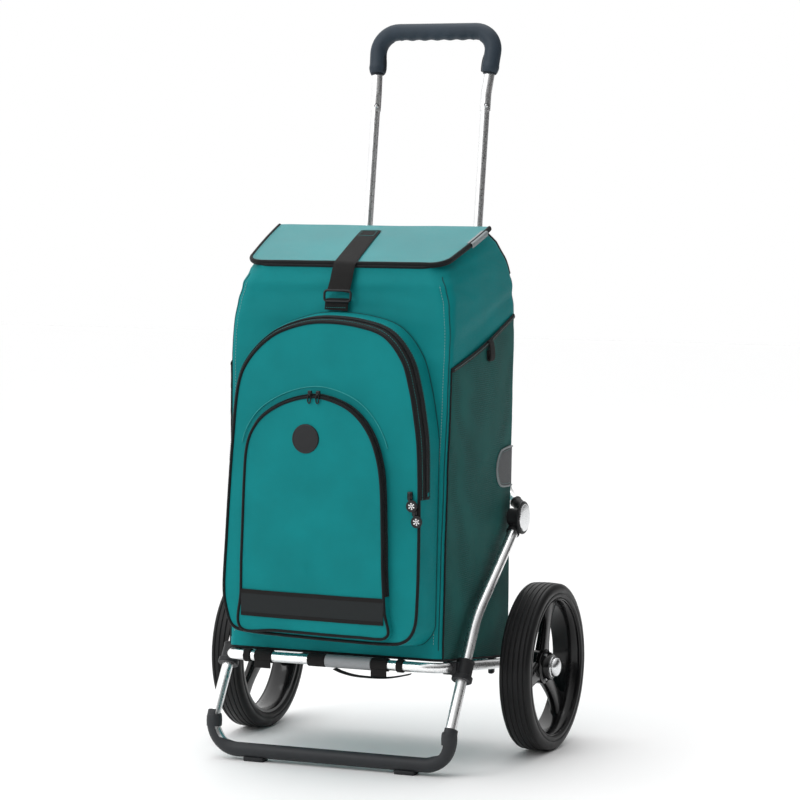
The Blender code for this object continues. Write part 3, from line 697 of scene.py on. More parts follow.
def make_stand():
    piece("stand_tube_skin", *tube(mirrored(stand_path()), STAND_R, count=36), ALUMINIUM, "root",
          "aluminium", ["stand_tube"])
    shell_path = resample(mirrored(stand_path()[12:]), 3.0)
    points = []
    count = 30
    for p, (_, normal, across) in zip(shell_path, frames(shell_path, (-1.0, 0.0, 0.0))):
        level = max(0.0, min(1.0, (30.0 - p.z) / 12.0))
        start = radians(-118.0 - 52.0 * level)
        end = radians(112.0 - 26.0 * level)
        for radius, order in ((11.15, range(count + 1)), (8.4, range(count, -1, -1))):
            for k in order:
                turn = start + (end - start) * k / count
                points.append(p + (normal * cos(turn) + across * sin(turn)) * radius)
    ring = 2 * count + 2
    faces = loop_faces(len(shell_path), ring)
    faces += [tuple(range(ring)), tuple(range(len(points) - ring, len(points)))]
    parts = [(points, faces)]
    for _, side in SIDES:
        top = Vector(on_line((side * STAND_X, *STAND_FOOT), (side * STAND_X, FOOT_Y, FOOT_Z), 0.05))
        down = Vector((0.0, -0.05, -1.0)).normalized()
        ring = []
        for t, grow in ((-6.0, 9.4), (-5.2, 10.6), (-2.0, 11.4), (4.0, 11.7), (12.0, 11.3)):
            for k in range(32):
                turn = 2 * pi * k / 32
                spot = top + down * t
                ring.append(spot + Vector((cos(turn), sin(turn), 0.0)) * grow)
        faces = loop_faces(5, 32)
        faces += [tuple(range(32)), tuple(range(128, 160))]
        parts.append((ring, faces))
    piece("foot_bumper_skin", *merge(*parts), BUMPER, "root", "black_plastic", ["foot_bumper"],
          sharp=35)
    for word, side in SIDES:
        x = side * 120.0
        body = rounded_box((x - 16.0, FOOT_Y - 9.5, 0.0), (x + 16.0, FOOT_Y + 9.5, 6.4), 1.6)
        ribs = [rounded_box((x - 13.0 + 6.0 * k, FOOT_Y - 9.9, 0.4),
                            (x - 11.0 + 6.0 * k, FOOT_Y + 9.9, 2.4), 0.6) for k in range(5)]
        piece(f"foot_pad_skin_{word}", *merge(body, *ribs), PAD, "root", "rubber",
              [f"foot_pad_{word}"])


def rail_half():
    slope = (RAIL_FRONT[1] - AXLE_Z) / -RAIL_FRONT[0]
    return fillet(
        [(RAIL_X, 9.0, AXLE_Z - slope * 9.0), (RAIL_X, *RAIL_FRONT), (0.0, *RAIL_FRONT)], (30.0,)
    )


def make_platform():
    piece("platform_tube_skin", *tube(mirrored(rail_half()), RAIL_R, count=36), ALUMINIUM, "root",
          "aluminium", ["platform_tube"])
    rod = [(-249.0, 0.0), (-249.0, 4.4), (-248.4, 5.0), (248.4, 5.0), (249.0, 4.4), (249.0, 0.0)]
    piece("axle_rod", *turned(rod, (0.0, AXLE_Z), 40, False), STEEL, "root", "steel", ["axle"])
    along = Vector((0.0, STAND_FOOT[0] - STAND_BEND[0], STAND_FOOT[1] - STAND_BEND[1])).normalized()
    out = Vector((0.0, -along.z, along.y))
    for word, side in SIDES:
        def spot(share):
            return Vector((side * STAND_X, *on_line(STAND_BEND, STAND_FOOT, share)))
        sleeve = sweep_data([spot(t) for t in (0.385, 0.42, 0.50, 0.555)], circle(12.6, 40),
                            (0.0, 1.0, 0.0))
        collar = sweep_data([spot(t) for t in (0.515, 0.555)], circle(15.2, 40), (0.0, 1.0, 0.0))
        lip = sweep_data([spot(t) for t in (0.386, 0.402)], circle(13.4, 40), (0.0, 1.0, 0.0))
        cheek = [(-211.0, 141.0), (-179.0, 136.8), (-179.0, 155.4), (-211.0, 159.4)]
        block = [Vector((side * x, y, z)) for x in (160.5, 181.0) for y, z in cheek]
        cube = (block, [(0, 1, 2, 3), (7, 6, 5, 4), (0, 4, 5, 1), (1, 5, 6, 2), (2, 6, 7, 3),
                        (3, 7, 4, 0)])
        bracket = piece(f"bracket_skin_{word}", *merge(sleeve, collar, lip, cube), PLASTIC, "root",
                        "black_plastic", [f"rail_bracket_{word}"])
        melted(bracket, 0.8, 5)
        screw_at = Vector((side * 160.2, -195.0, 149.0))
        head = turned([(side * 158.4, 0.0), (side * 158.4, 2.6), (side * 159.0, 3.4),
                       (side * 161.5, 3.4), (side * 161.5, 0.0)], (screw_at.y, screw_at.z), 24, False)
        piece(f"bracket_screw_{word}", *head, STEEL, "root", "steel", sharp=30)
        base = spot(0.455)
        bow = []
        for a, b in ((-12.0, 17.8), (-9.0, 18.2), (-4.0, 18.4), (0.0, 18.4), (4.0, 18.4),
                     (9.0, 18.2), (12.0, 17.8)):
            bow.append(base + along * a + out * b)
        strip = [(-1.25, -5.0), (1.25, -5.0), (1.6, -3.6), (1.6, 3.6), (1.25, 5.0), (-1.25, 5.0)]
        lever = sweep_data(bow, strip, out)
        lug = rounded_box((-2.6, -4.4, 13.9), (2.6, 4.4, 18.0), 0.7)
        lug = ([base + along * p.x + Vector((p.y, 0.0, 0.0)) + out * p.z for p in lug[0]], lug[1])
        piece(f"latch_skin_{word}", *merge(lever, lug), PLASTIC, f"latch_{word}", "black_plastic",
              [f"bracket_latch_{word}"])
        ring = [(side * x, r) for x, r in ((148.0, 5.3), (148.0, 7.6), (148.6, 8.2), (157.4, 8.2),
                                           (158.0, 7.6), (158.0, 5.3))]
        claw = rounded_box((min(side * 149.0, side * 157.0), -8.0, 108.6),
                           (max(side * 149.0, side * 157.0), 3.0, 121.0), 2.6)
        piece(f"axle_hook_skin_{word}", *merge(turned(ring, (0.0, AXLE_Z), 32), claw), PLASTIC,
              "root", "black_plastic", [f"axle_hook_{word}"])


def cone_sleeve(path, radii, count=40):
    points = []
    for point, (_, normal, across), radius in zip(path, frames(path, (0.0, 1.0, 0.0)), radii):
        points += [point + normal * a + across * b for a, b in circle(radius, count)]
    faces = loop_faces(len(path), count)
    faces += [tuple(range(count)), tuple(range(len(points) - count, len(points)))]
    return points, faces


def make_knuckles():
    for word, side in SIDES:
        mouth = on_line(STAND_TOP, STAND_BEND, 0.0913)
        seat = on_line(STAND_TOP, STAND_BEND, -0.035)
        line = [Vector((side * STAND_X, *on_line(mouth, seat, t))) for t in (0, 0.08, 0.16, 0.6, 1)]
        sleeve = cone_sleeve(line, (10.1, 10.6, 9.9, 9.9, 9.6))
        hub = turned([(side * 177.2, 0.0), (side * 177.2, 12.2), (side * 178.4, 13.3),
                      (side * 196.4, 13.3), (side * 196.4, 0.0)], KNUCKLE, 56, False)
        obj = piece(f"stand_socket_skin_{word}", *merge(sleeve, hub), PLASTIC, "root",
                    "black_plastic", [f"stand_socket_{word}"])
        melted(obj, 0.8, 3)
        room = turned([(side * 196.5, 0.0), (side * 196.5, 26.4), (side * 210.0, 26.4),
                       (side * 210.0, 0.0)], KNUCKLE, 56, False)
        carve(obj, room, word)
        root = Vector((side * STAND_X, *HANDLE_ROOT))
        knee = Vector((side * HANDLE_KNEE[0], *HANDLE_KNEE[1:]))
        inner = Vector((side * (STAND_X + 3.0), 22.0, 349.5))
        line = [inner, inner.lerp(root, 0.6), root, root.lerp(knee, 0.2), root.lerp(knee, 0.36),
                root.lerp(knee, 0.42), root.lerp(knee, 0.45)]
        neck = cone_sleeve(line, (8.8, 9.2, 9.3, 9.0, 8.8, 9.5, 9.2))
        disc = turned([(side * 197.2, 0.0), (side * 197.2, 24.6), (side * 199.8, 24.8),
                       (side * 201.0, 23.4), (side * 201.1, 21.6), (side * 200.4, 20.9),
                       (side * 200.4, 0.0)], KNUCKLE, 72, False)
        obj = piece(f"handle_socket_skin_{word}", *merge(neck, disc), PLASTIC, "handle",
                    "black_plastic", [f"handle_socket_{word}"])
        melted(obj, 0.7, 2)
        room = turned([(side * 170.0, 0.0), (side * 170.0, 25.8), (side * 196.9, 25.8),
                       (side * 196.9, 0.0)], KNUCKLE, 56, False)
        carve(obj, room, word)
        dome = [(200.3, 0.0), (200.3, 20.4), (201.8, 20.5), (202.6, 19.8), (203.2, 16.0),
                (203.6, 11.0), (203.8, 5.0), (203.9, 0.0)]
        piece(f"knuckle_cap_skin_{word}", *turned([(side * x, r) for x, r in dome], KNUCKLE, 64,
                                                  False), CHROME, "handle", "chrome",
              [f"knuckle_cap_{word}"], sharp=30)


def carve(obj, data, word):
    """A Boolean cut with a throwaway helper."""
    helper = piece(f"tmp_cut_{word}", *data, PLASTIC, "root", "black_plastic")
    step = obj.modifiers.new("cut", "BOOLEAN")
    step.operation = "DIFFERENCE"
    step.solver = "EXACT"
    step.use_self = True
    step.object = helper
    bake(obj)
    bpy.data.objects.remove(helper)


make_stand()
make_platform()
make_knuckles()


# ---------------------------------------------------------------- handle


def sleeve_y(z):
    return HANDLE_NECK[0] + (z - HANDLE_NECK[1]) * 0.163


def handle_half(side):
    top = SLEEVE_Z + 24.0
    return fillet(
        [
            (side * STAND_X, *HANDLE_ROOT),
            (side * HANDLE_KNEE[0], *HANDLE_KNEE[1:]),
            (side * GRIP_TUBE_X, *HANDLE_NECK),
            (side * GRIP_TUBE_X, sleeve_y(top), top),
        ],
        (36.0, 110.0),
    )


def grip_line(start):
    bend = Vector((GRIP_TUBE_X, sleeve_y(976.0), 976.0))
    corner = Vector(GRIP_CORNER)
    tail = [corner, Vector((0.0, corner.y, corner.z))]
    if start < bend.z:
        return fillet([Vector((GRIP_TUBE_X, sleeve_y(start), start)), bend] + tail, (60.0, 32.0))
    return fillet([bend.lerp(corner, (start - bend.z) / (corner.z - bend.z))] + tail, (32.0,))


def make_handle():
    for word, side in SIDES:
        piece(f"handle_tube_skin_{word}", *tube(handle_half(side), 7.15, count=32), ALUMINIUM,
              "handle", "aluminium", [f"handle_tube_{word}"])
        turn = radians(-60.0)
        push = Vector((cos(turn), sin(turn), 0.0))
        spot = Vector((side * GRIP_TUBE_X, sleeve_y(958.0), 958.0))
        button = cone_sleeve([spot + push * t for t in (2.4, 8.6, 9.4, 9.9, 10.2)],
                             (2.9, 2.9, 2.6, 1.9, 0.7), 24)
        piece(f"snap_button_skin_{word}", *button, STEEL, f"button_{word}", "steel",
              [f"snap_button_{word}"])
        hole = []
        for radius, depth in ((3.1, 8.05), (3.1, 8.5), (4.1, 8.4), (4.1, 8.0)):
            for k in range(24):
                a = 2 * pi * k / 24
                side_way = Vector((-push.y, push.x, 0.0))
                drop = sqrt(max(0.0, 1 - (radius * cos(a) / 8.25) ** 2)) * 8.25 - 8.25
                hole.append(spot + side_way * (radius * cos(a)) + Vector((0, 0, radius * sin(a)))
                            + push * (depth + drop))
        piece(f"snap_rim_{word}", hole, loop_faces(4, 24, 0, True, True), PLASTIC, "handle",
              "black_plastic")
    path = mirrored(grip_line(SLEEVE_Z))
    outer = sweep_data(path, circle(8.25, 36), (0.0, 1.0, 0.0))
    inner = sweep_data(path, circle(7.45, 36), (0.0, 1.0, 0.0))
    count = len(outer[0])
    points = outer[0] + inner[0]
    faces = outer[1][:-2] + [tuple(i + count for i in f) for f in inner[1][:-2]]
    for start in (0, count - 36):
        for c in range(36):
            d = (c + 1) % 36
            faces.append((start + c, start + d, count + start + d, count + start + c))
    piece("upper_tube_skin", points, faces, ALUMINIUM, "handle", "aluminium", ["upper_tube"])
    make_grip()


def make_grip():
    """A moulded U grip: round legs, a bar with finger waves underneath, and dark inner lugs."""
    path = resample(mirrored(grip_line(1008.0)), 2.0)
    count = 40
    points = []
    total = len(path) - 1
    for i, (point, (tangent, normal, across)) in enumerate(zip(path, frames(path, (0, 1, 0)))):
        lean = Vector((0.0, 0.25, 0.97)).normalized()
        flat = 1.0 - min(1.0, abs(tangent.x) * -1 + 1.0)
        down = -(lean - tangent * lean.dot(tangent))
        inside = Vector((-point.x, 0.0, -20.0 if abs(point.x) < 88 else -60.0))
        inside = (inside - tangent * inside.dot(tangent)).normalized()
        end = min(i, total - i) * 2.0
        cuff = 0.86 + 0.14 * min(1.0, (end / 7.0) ** 0.5) + 0.05 * exp(-((end - 9.0) / 4.0) ** 2)
        for k in range(count):
            turn = 2 * pi * k / count
            way = normal * cos(turn) + across * sin(turn)
            radius = 12.6 * cuff
            if abs(point.x) < 62 and abs(tangent.x) > 0.9:
                facing = max(0.0, way.dot(down.normalized()))
                wave = 0.5 + 0.5 * cos(2 * pi * point.x / 21.0)
                radius += (1.5 * wave - 0.7) * facing ** 1.5
            elif abs(tangent.x) < 0.9:
                facing = max(0.0, way.dot(inside))
                radius += 0.8 * facing
            points.append(point + way * radius * (1.0 + 0.02 * flat))
    faces = loop_faces(len(path), count)
    faces += [tuple(range(count)), tuple(range(len(points) - count, len(points)))]
    piece("grip_skin", points, faces, GRIP, "handle", "grip_plastic", ["grip"], sharp=60)
    for word, side in SIDES:
        leg = resample(grip_line(1008.0), 2.0)
        leg = [Vector((side * p.x, p.y, p.z)) for p in leg if p.z < 1048.0]
        inner = [Vector((p.x - side * 9.2, p.y - 1.0, p.z)) for p in leg[1:]]

        def taper(t):
            return 0.55 + 0.45 * sin(pi * min(1.0, t * 1.15 + 0.12)) ** 0.5

        data = sweep_data(inner, circle(6.0, 24), (0.0, 1.0, 0.0), False, taper)
        piece(f"grip_lug_{word}", *data, GRIP_DARK, "handle", "grip_plastic")
        ring_at = leg[1]
        band = tube([Vector((side * p.x, p.y, p.z)) for p in
                     (Vector((side * leg[0].x, leg[0].y, leg[0].z - 2.4)),
                      Vector((side * ring_at.x, ring_at.y, ring_at.z)))], 10.2, count=36)
        piece(f"grip_cuff_{word}", *band, GRIP_DARK, "handle", "grip_plastic")


make_handle()


# ---------------------------------------------------------------- bag


def between(x, table):
    """A smooth value from a table of (x, value)."""
    if x <= table[0][0]:
        return table[0][1]
    for (a, low), (b, high) in zip(table, table[1:]):
        if x <= b:
            t = (x - a) / (b - a)
            return low + (high - low) * t * t * (3 - 2 * t)
    return table[-1][1]


HALF_FRONT = ((640.0, 168.5), (672.0, 166.0), (694.0, 160.5), (711.0, 152.5), (724.3, 141.0))
CORNER = ((600.0, 13.0), (700.0, 24.0), (724.3, 34.0))


SWELL_FRONT = ((165.0, 0.0), (300.0, 1.0), (420.0, 3.0), (540.0, 6.0), (620.0, 7.6), (660.0, 7.0),
               (690.0, 5.0), (711.0, 2.6), (724.3, 0.5))
SWELL_REAR = ((165.0, 0.0), (300.0, 1.0), (420.0, 3.0), (540.0, 6.0), (620.0, 8.0), (690.0, 8.6),
              (711.0, 6.0), (724.3, 1.0))


def front_edge(z):
    if z <= 581.0:
        return bag_front(z)
    return between(z, ((581.0, -220.0), (640.0, -215.0), (694.0, -208.0), (724.3, -198.5)))


def rear_edge(t):
    """(y, z) of the bag's rear edge from its floor to the ridge, rounded over the top."""
    path = ((0.0, 37.0, 130.0), (0.55, 38.0, 450.0), (0.78, 38.5, 600.0), (0.87, 36.5, 662.0),
            (0.915, 27.0, 697.0), (0.95, 4.0, 731.0), (0.98, -27.0, 757.0), (1.0, -57.0, 774.6))
    for (a, ya, za), (b, yb, zb) in zip(path, path[1:]):
        if t <= b:
            s = (t - a) / (b - a)
            return ya + (yb - ya) * s, za + (zb - za) * s
    return path[-1][1:]


def bag_ring(t, inset, count=44):
    """One closed section of the bag: four sides with rounded corners."""
    zf = 165.0 + (724.3 - 165.0) * t
    yf = front_edge(zf)
    yr, zr = rear_edge(t)
    half_f = between(zf, HALF_FRONT) + between(zf, SWELL_FRONT) - inset
    half_r = 168.5 - 1.5 * max(0.0, (t - 0.9) / 0.1) + between(zf, SWELL_REAR) - inset
    rc = max(4.0, between(zf, CORNER) - inset * 0.5)
    rr = 13.0 - inset * 0.5
    yf += inset
    yr -= inset
    lift = inset if t < 1e-6 else 0.0

    def half(y):
        s = (yr - y) / (yr - yf)
        return half_r - (half_r - half_f) * s ** 2.2

    ring = []
    side_low, side_high = yf + rc, yr - rr
    bulge = sin(pi * min(1.0, t / 0.93)) ** 0.7 if t < 0.93 else 0.0
    for k in range(count):
        y = side_low + (side_high - side_low) * k / count
        swell = 2.6 * sin(pi * k / count) * bulge
        ring.append((half(y) + swell, y))
    for k in range(9):
        turn = pi / 2 * k / 8
        ring.append((half_r - rr + rr * cos(turn), side_high + rr * sin(turn)))
    for k in range(1, count):
        x = (half_r - rr) * (1 - 2 * k / count)
        ring.append((x, yr + 2.0 * sin(pi * k / count) * bulge))
    for k in range(9):
        turn = pi / 2 + pi / 2 * k / 8
        ring.append((-half_r + rr + rr * cos(turn), side_high + rr * sin(turn)))
    for k in range(1, count + 1):
        y = side_high - (side_high - side_low) * k / count
        swell = 2.6 * sin(pi * k / count) * bulge
        ring.append((-half(y) - swell, y))
    hf = half(side_low)
    for k in range(1, 9):
        turn = pi + pi / 2 * k / 8
        ring.append((-hf + rc + rc * cos(turn), side_low + rc * sin(turn)))
    for k in range(1, count):
        x = (hf - rc) * (-1 + 2 * k / count)
        ring.append((x, yf))
    for k in range(8):
        turn = 3 * pi / 2 + pi / 2 * k / 8
        ring.append((hf - rc + rc * cos(turn), side_low + rc * sin(turn)))
    out = []
    for x, y in ring:
        share = (y - yf) / (yr - yf)
        out.append(Vector((x, y, zf + (zr - zf) * share + lift)))
    return out


def fold_depth(p, t):
    """How far the fabric sinks at a point: long soft folds, strongest near the top."""
    x, y, z = p
    soft = 0.5 + 0.5 * hills((x, y, z * 0.8), 95.0, 3.1)
    creases = max(0.0, hills((x * 0.5, y * 0.5, z * 1.6), 34.0, 8.4)) ** 1.3
    top = max(0.0, min(1.0, (z - 560.0) / 90.0))
    edge = min(1.0, t / 0.05) * min(1.0, (1.0 - t) / 0.03)
    sag = 0.0
    if abs(x) > 160.0 or y > 30.0:
        line = z - (652.0 + 0.28 * (y + 60.0) + 5.0 * hills(p, 60.0, 1.0))
        corner = min(1.0, max(0.15, (195.0 + y) / 60.0)) if abs(x) > 160.0 else 1.0
        sag += (1.7 * exp(-(line / 11.0) ** 2) - 0.9 * exp(-((line - 17.0) / 10.0) ** 2)) * corner
    if y < -200.0:
        line = z - (692.0 - 0.05 * abs(x) + 6.0 * hills(p, 70.0, 5.0))
        sag += 1.0 * exp(-(line / 10.0) ** 2) * min(1.0, max(0.0, (150.0 - abs(x)) / 50.0))
    return edge * (0.8 * soft + (0.4 + 1.2 * top) * creases + sag)


def bag_rings(inset, rows):
    rings = []
    for i in range(rows + 1):
        t = i / rows
        ring = bag_ring(t, inset)
        count = len(ring)
        pushed = []
        for j, p in enumerate(ring):
            tangent = ring[(j + 1) % count] - ring[j - 1]
            out = Vector((tangent.y, -tangent.x, 0.0)).normalized()
            if out.dot(Vector((p.x, p.y + 90.0, 0.0))) < 0:
                out = -out
            pushed.append(p - out * fold_depth(p, t))
        rings.append(pushed)
    return rings


def make_bag():
    rows = 150
    outer = bag_rings(0.0, rows)
    inner = bag_rings(3.4, rows)
    n = len(outer[0])
    points = [p for ring in outer for p in ring]
    base = len(points)
    points += [p + Vector((0, 0, 0 if i else 3.4)) for i, ring in enumerate(inner) for p in ring]
    faces = loop_faces(rows + 1, n)
    inner_faces = [tuple(i + base for i in f) for f in loop_faces(rows + 1, n)]
    top = rows * n
    for c in range(n):
        d = (c + 1) % n
        faces.append((top + c, top + d, base + top + d, base + top + c))
    faces.append(tuple(range(n)))
    first_inner = len(faces)
    inner_faces.append(tuple(range(base, base + n)))
    obj = piece("bag_skin", points, faces + inner_faces, FABRIC, "root", "fabric", ["bag_shell"],
                sharp=70)
    obj.data.materials.append(LINING)
    for k, poly in enumerate(obj.data.polygons):
        poly.material_index = 1 if k >= first_inner else 0
    rim = tube(resample([p + Vector((0, 0, 0.4)) for p in outer[-1]], 3.0, True), 2.3, (0, 0, 1), 10,
               True)
    piece("bag_rim_binding", *rim, PIPING, "root", "webbing")
    foot = tube(resample([p + Vector((0, 0, 1.0)) for p in outer[0]], 3.0, True), 1.9, (0, 0, 1),
                10, True)
    piece("bag_floor_piping", *foot, PIPING, "root", "webbing")
    for word, side in SIDES:
        edge = []
        seam = []
        for i in range(4, rows - 3):
            ring = outer[i]
            best = min(ring, key=lambda p: p.y - p.x * side)
            edge.append(best)
            seam.append(Vector((best.x - side * 5.0, best.y - 2.2, best.z)))
        edge = resample(edge, 4.0)
        piece(f"front_edge_piping_{word}", *tube(edge, 0.75, (0, 1, 0), 10), DARK_TEAL_EDGE_AND_SHADE, "root",
              "webbing")
        thread = [Vector((p.x - side * 6.4, surface_front(outer, p.x - side * 6.4, p.z) - 0.15, p.z))
                  for p in edge[2:-2]]
        piece(f"front_edge_thread_{word}", *stitches(thread, (0, -1, 0), 4.2, 2.8, 0.38),
              THREAD_PALE, "root", "fabric")
        rear = [ring_corner(outer[i], side) for i in range(int(rows * 0.93), rows + 1)]
        piece(f"gable_binding_{word}", *tube(resample(rear, 3.0), 2.6, (0, 1, 0), 12), PIPING,
              "root", "webbing")
        back = [ring_corner(outer[i], side) for i in range(3, int(rows * 0.93))]
        piece(f"rear_edge_piping_{word}", *tube(resample(back, 4.0), 1.2, (0, 1, 0), 10), PIPING,
              "root", "webbing")
    return outer


def ring_corner(ring, side):
    return max(ring, key=lambda p: p.x * side + p.y)


def surface_front(rings, x, z):
    """Y of the bag's front face near a point."""
    ring = min(rings, key=lambda r: abs(r[-30].z - z))
    near = [p for p in ring if p.y < -150.0]
    return min(near, key=lambda p: abs(p.x - x)).y


BAG = make_bag()


# ---------------------------------------------------------------- lid


def flap_half(y):
    if y >= -171.0:
        return 170.0 - 11.0 * (max(0.0, (RIDGE[0] - y)) / 115.0) ** 1.5
    s = min(1.0, (-171.0 - y) / 25.0)
    return 134.0 + 25.0 * sqrt(max(0.0, 1 - s * s))


def flap_z(x, y):
    w = flap_half(y)
    crown = 1.6 * (1 - (x / 172.0) ** 2) * sin(pi * min(1.0, (RIDGE[0] - y) / 150.0))
    ripple = 0.7 * hills((x, y, 0), 60.0, 2.2) * min(1.0, (w - abs(x)) / 15.0)
    return flap_top(y) + crown + ripple - 1.2


def make_flap():
    ys = [RIDGE[0] - 0.5 - 114.5 * k / 46 for k in range(47)]
    ys += [-171.0 - 25.0 * sin(pi / 2 * k / 10) for k in range(1, 11)]
    cols = 96
    points = []
    for level in (0.0, -3.4):
        for y in ys:
            w = flap_half(y) - 1.0
            for c in range(cols + 1):
                x = w * (2 * c / cols - 1)
                points.append(Vector((x, y, flap_z(x, y) + level)))
    rows = len(ys)
    base = rows * (cols + 1)
    faces = loop_faces(rows, cols + 1, 0, False)
    under = loop_faces(rows, cols + 1, base, False)
    rim = []
    for r in range(rows - 1):
        for c in (0, cols):
            a = r * (cols + 1) + c
            b = a + cols + 1
            rim.append((a, b, base + b, base + a))
    for c in range(cols):
        for r in (0, rows - 1):
            a = r * (cols + 1) + c
            rim.append((a, a + 1, base + a + 1, base + a))
    # The flap's fabric is painted lighter than the body's: painted light on its top.
    obj = piece("flap_skin", points, faces + rim + under, FABRIC_FLAP_PAINTED_LIT, "lid", "fabric_flap",
                ["lid_flap"], sharp=50)
    obj.data.materials.append(LINING)
    start = len(faces) + len(rim)
    for k, poly in enumerate(obj.data.polygons):
        if k >= start:
            poly.material_index = 1
    edge = [Vector((flap_half(y), y, flap_z(flap_half(y), y) - 2.6)) for y in ys]
    left = [Vector((-p.x, p.y, p.z)) for p in edge]
    lip = [Vector((x, edge[-1].y, flap_z(x, edge[-1].y) - 2.6))
           for x in [134.0 - 268.0 * k / 60 for k in range(1, 60)]]
    line = resample(edge + lip + list(reversed(left)), 3.0)
    section = [(4.1 * cos(2 * pi * k / 20), 3.0 * sin(2 * pi * k / 20)) for k in range(20)]
    piece("flap_binding", *sweep_data(line, section, (0, 0, 1)), PIPING, "lid", "webbing")
    sew = []
    for p in line[2:-2]:
        inward = Vector((-p.x, -115.0 - p.y, 0.0)).normalized()
        q = p + inward * 4.4
        sew.append(Vector((q.x, q.y, flap_z(q.x, q.y) + 0.2)))
    piece("flap_thread", *stitches(sew, (0, 0.3, 0.95), 4.0, 2.6, 0.34), THREAD_PALE, "lid",
          "fabric_flap")
    hinge = [Vector((x, RIDGE[0] - 0.3, flap_z(x, RIDGE[0]) - 2.2))
             for x in [-168.0 + 336.0 * k / 100 for k in range(101)]]
    piece("lid_hinge_seam", *tube(hinge, 2.0, (0, 1, 0), 12), FABRIC, "lid", "fabric_flap")
    tag_line = [p for p in edge if -122.0 < p.y < -72.0]
    tag = [(-3.9, -4.5), (-5.4, 0.0), (-5.2, 2.6), (-4.4, 3.4), (5.0, 3.6), (5.9, 1.0), (5.4, -3.0),
           (4.2, -4.6), (3.4, -3.8), (4.2, 0.0), (3.6, 2.6), (-3.4, 2.6), (-4.0, 0.0), (-3.1, -3.9)]
    wide = [(a, b) for b, a in tag]
    piece("lid_tag_skin", *sweep_data(resample(tag_line, 3.0), wide, (0, 0, 1)), PALE, "lid",
          "trim_grey", ["lid_tag"], sharp=60)


def ribbon(path, widths, thick, first, look, name, body, slot, node=(), bulge=0.0):
    """Flat webbing along a path, its width running across."""
    points = []
    count = 14
    for i, (point, (_, normal, across)) in enumerate(zip(path, frames(path, first))):
        half = widths(i / (len(path) - 1)) / 2 if callable(widths) else widths / 2
        ring = []
        for k in range(count):
            s = -1 + 2 * k / (count - 1)
            lift = thick / 2 * (1 - abs(s) ** 6) + 0.15
            ring.append((s, lift + bulge * (1 - s * s)))
        for k in range(count - 1, -1, -1):
            s = -1 + 2 * k / (count - 1)
            lift = thick / 2 * (1 - abs(s) ** 6) + 0.15
            ring.append((s, -lift + bulge * (1 - s * s)))
        points += [point + across * (s * half) + normal * h for s, h in ring]
    n = count * 2
    faces = loop_faces(len(path), n)
    faces += [tuple(range(n)), tuple(range(len(points) - n, len(points)))]
    return piece(name, points, faces, look, body, slot, node, sharp=50)


def make_closure():
    top = []
    for y in [-84.0 - 116.0 * k / 30 for k in range(31)]:
        x = -7.5 + 11.0 * (-84.0 - y) / 116.0
        top.append(Vector((x, y, flap_z(x, y) + 1.9)))
    x0, y0, z0 = top[-1]
    fall = [Vector((x0 - 0.2, y0 - 3.4, z0 - 2.6)), Vector((x0 - 0.4, y0 - 6.0, z0 - 7.5)),
            Vector((x0 - 0.8, -209.5, 716.0)), Vector((2.0, -214.0, 703.0)),
            Vector((0.6, -217.0, 693.5)), Vector((0.0, -218.6, 689.5))]
    line = resample(top + fall, 3.0)
    ribbon(line, lambda t: 31.5 + 3.5 * t, 1.5, (0, 0, 1), BLACK_WEB, "strap_skin", "lid",
           "webbing", ["closure_strap"])
    box = [Vector((x, y, flap_z(x, y) + 3.1)) for x, y in
           ((-19.5, -88.0), (4.5, -88.0), (6.6, -108.0), (-17.6, -108.0), (-19.5, -88.0))]
    piece("strap_thread", *stitches(resample(box, 3.0), (0, 0.3, 0.95), 3.2, 2.1, 0.3), THREAD,
          "lid", "webbing")
    ring = []
    for cx, cz, a0 in ((14.5, 685.2, 0), (-17.0, 685.2, 90), (-17.0, 679.4, 180), (14.5, 679.4, 270)):
        for k in range(9):
            turn = radians(a0 + 90 * k / 8)
            ring.append(Vector((cx + 5.0 * cos(turn), -218.2 - 0.12 * (685 - cz),
                                cz + 5.0 * sin(turn))))
    piece("strap_ring", *tube(resample(ring, 1.2, True), 1.75, (0, 1, 0), 14, True), PLASTIC, "lid",
          "black_plastic", ["closure_ring"])
    low = [Vector((-3.0, -212.6, 678.0)), Vector((-3.0, -215.6, 676.0)), Vector((-3.1, -217.0, 673.0)),
           Vector((-3.3, -217.8, 668.0)), Vector((-3.6, -218.2, 661.6))]
    ribbon(resample(low, 1.6), 37.0, 1.6, (0, -1, 0), BLACK_WEB, "anchor_skin", "root", "webbing",
           ["closure_anchor"])
    bar = [Vector((-20.0 + 32.0 * k / 20, -219.1, 665.5)) for k in range(21)]
    piece("anchor_thread", *stitches(bar, (0, -1, 0), 3.2, 2.2, 0.3), THREAD, "root", "webbing")


make_flap()
make_closure()


# ---------------------------------------------------------------- pockets


def smooth_outline(knots, step=4.0):
    """A closed Catmull-Rom curve through (x, z) knots."""
    pts = [Vector((x, z, 0.0)) for x, z in knots]
    count = len(pts)
    dense = []
    for i in range(count):
        a, b, c, d = (pts[(i + k) % count] for k in (-1, 0, 1, 2))
        for k in range(16):
            t = k / 16
            dense.append(0.5 * ((2 * b) + (c - a) * t + (2 * a - 5 * b + 4 * c - d) * t * t
                                + (3 * b - a - 3 * c + d) * t ** 3))
    return [(p.x, p.y) for p in resample(dense, step, True)]


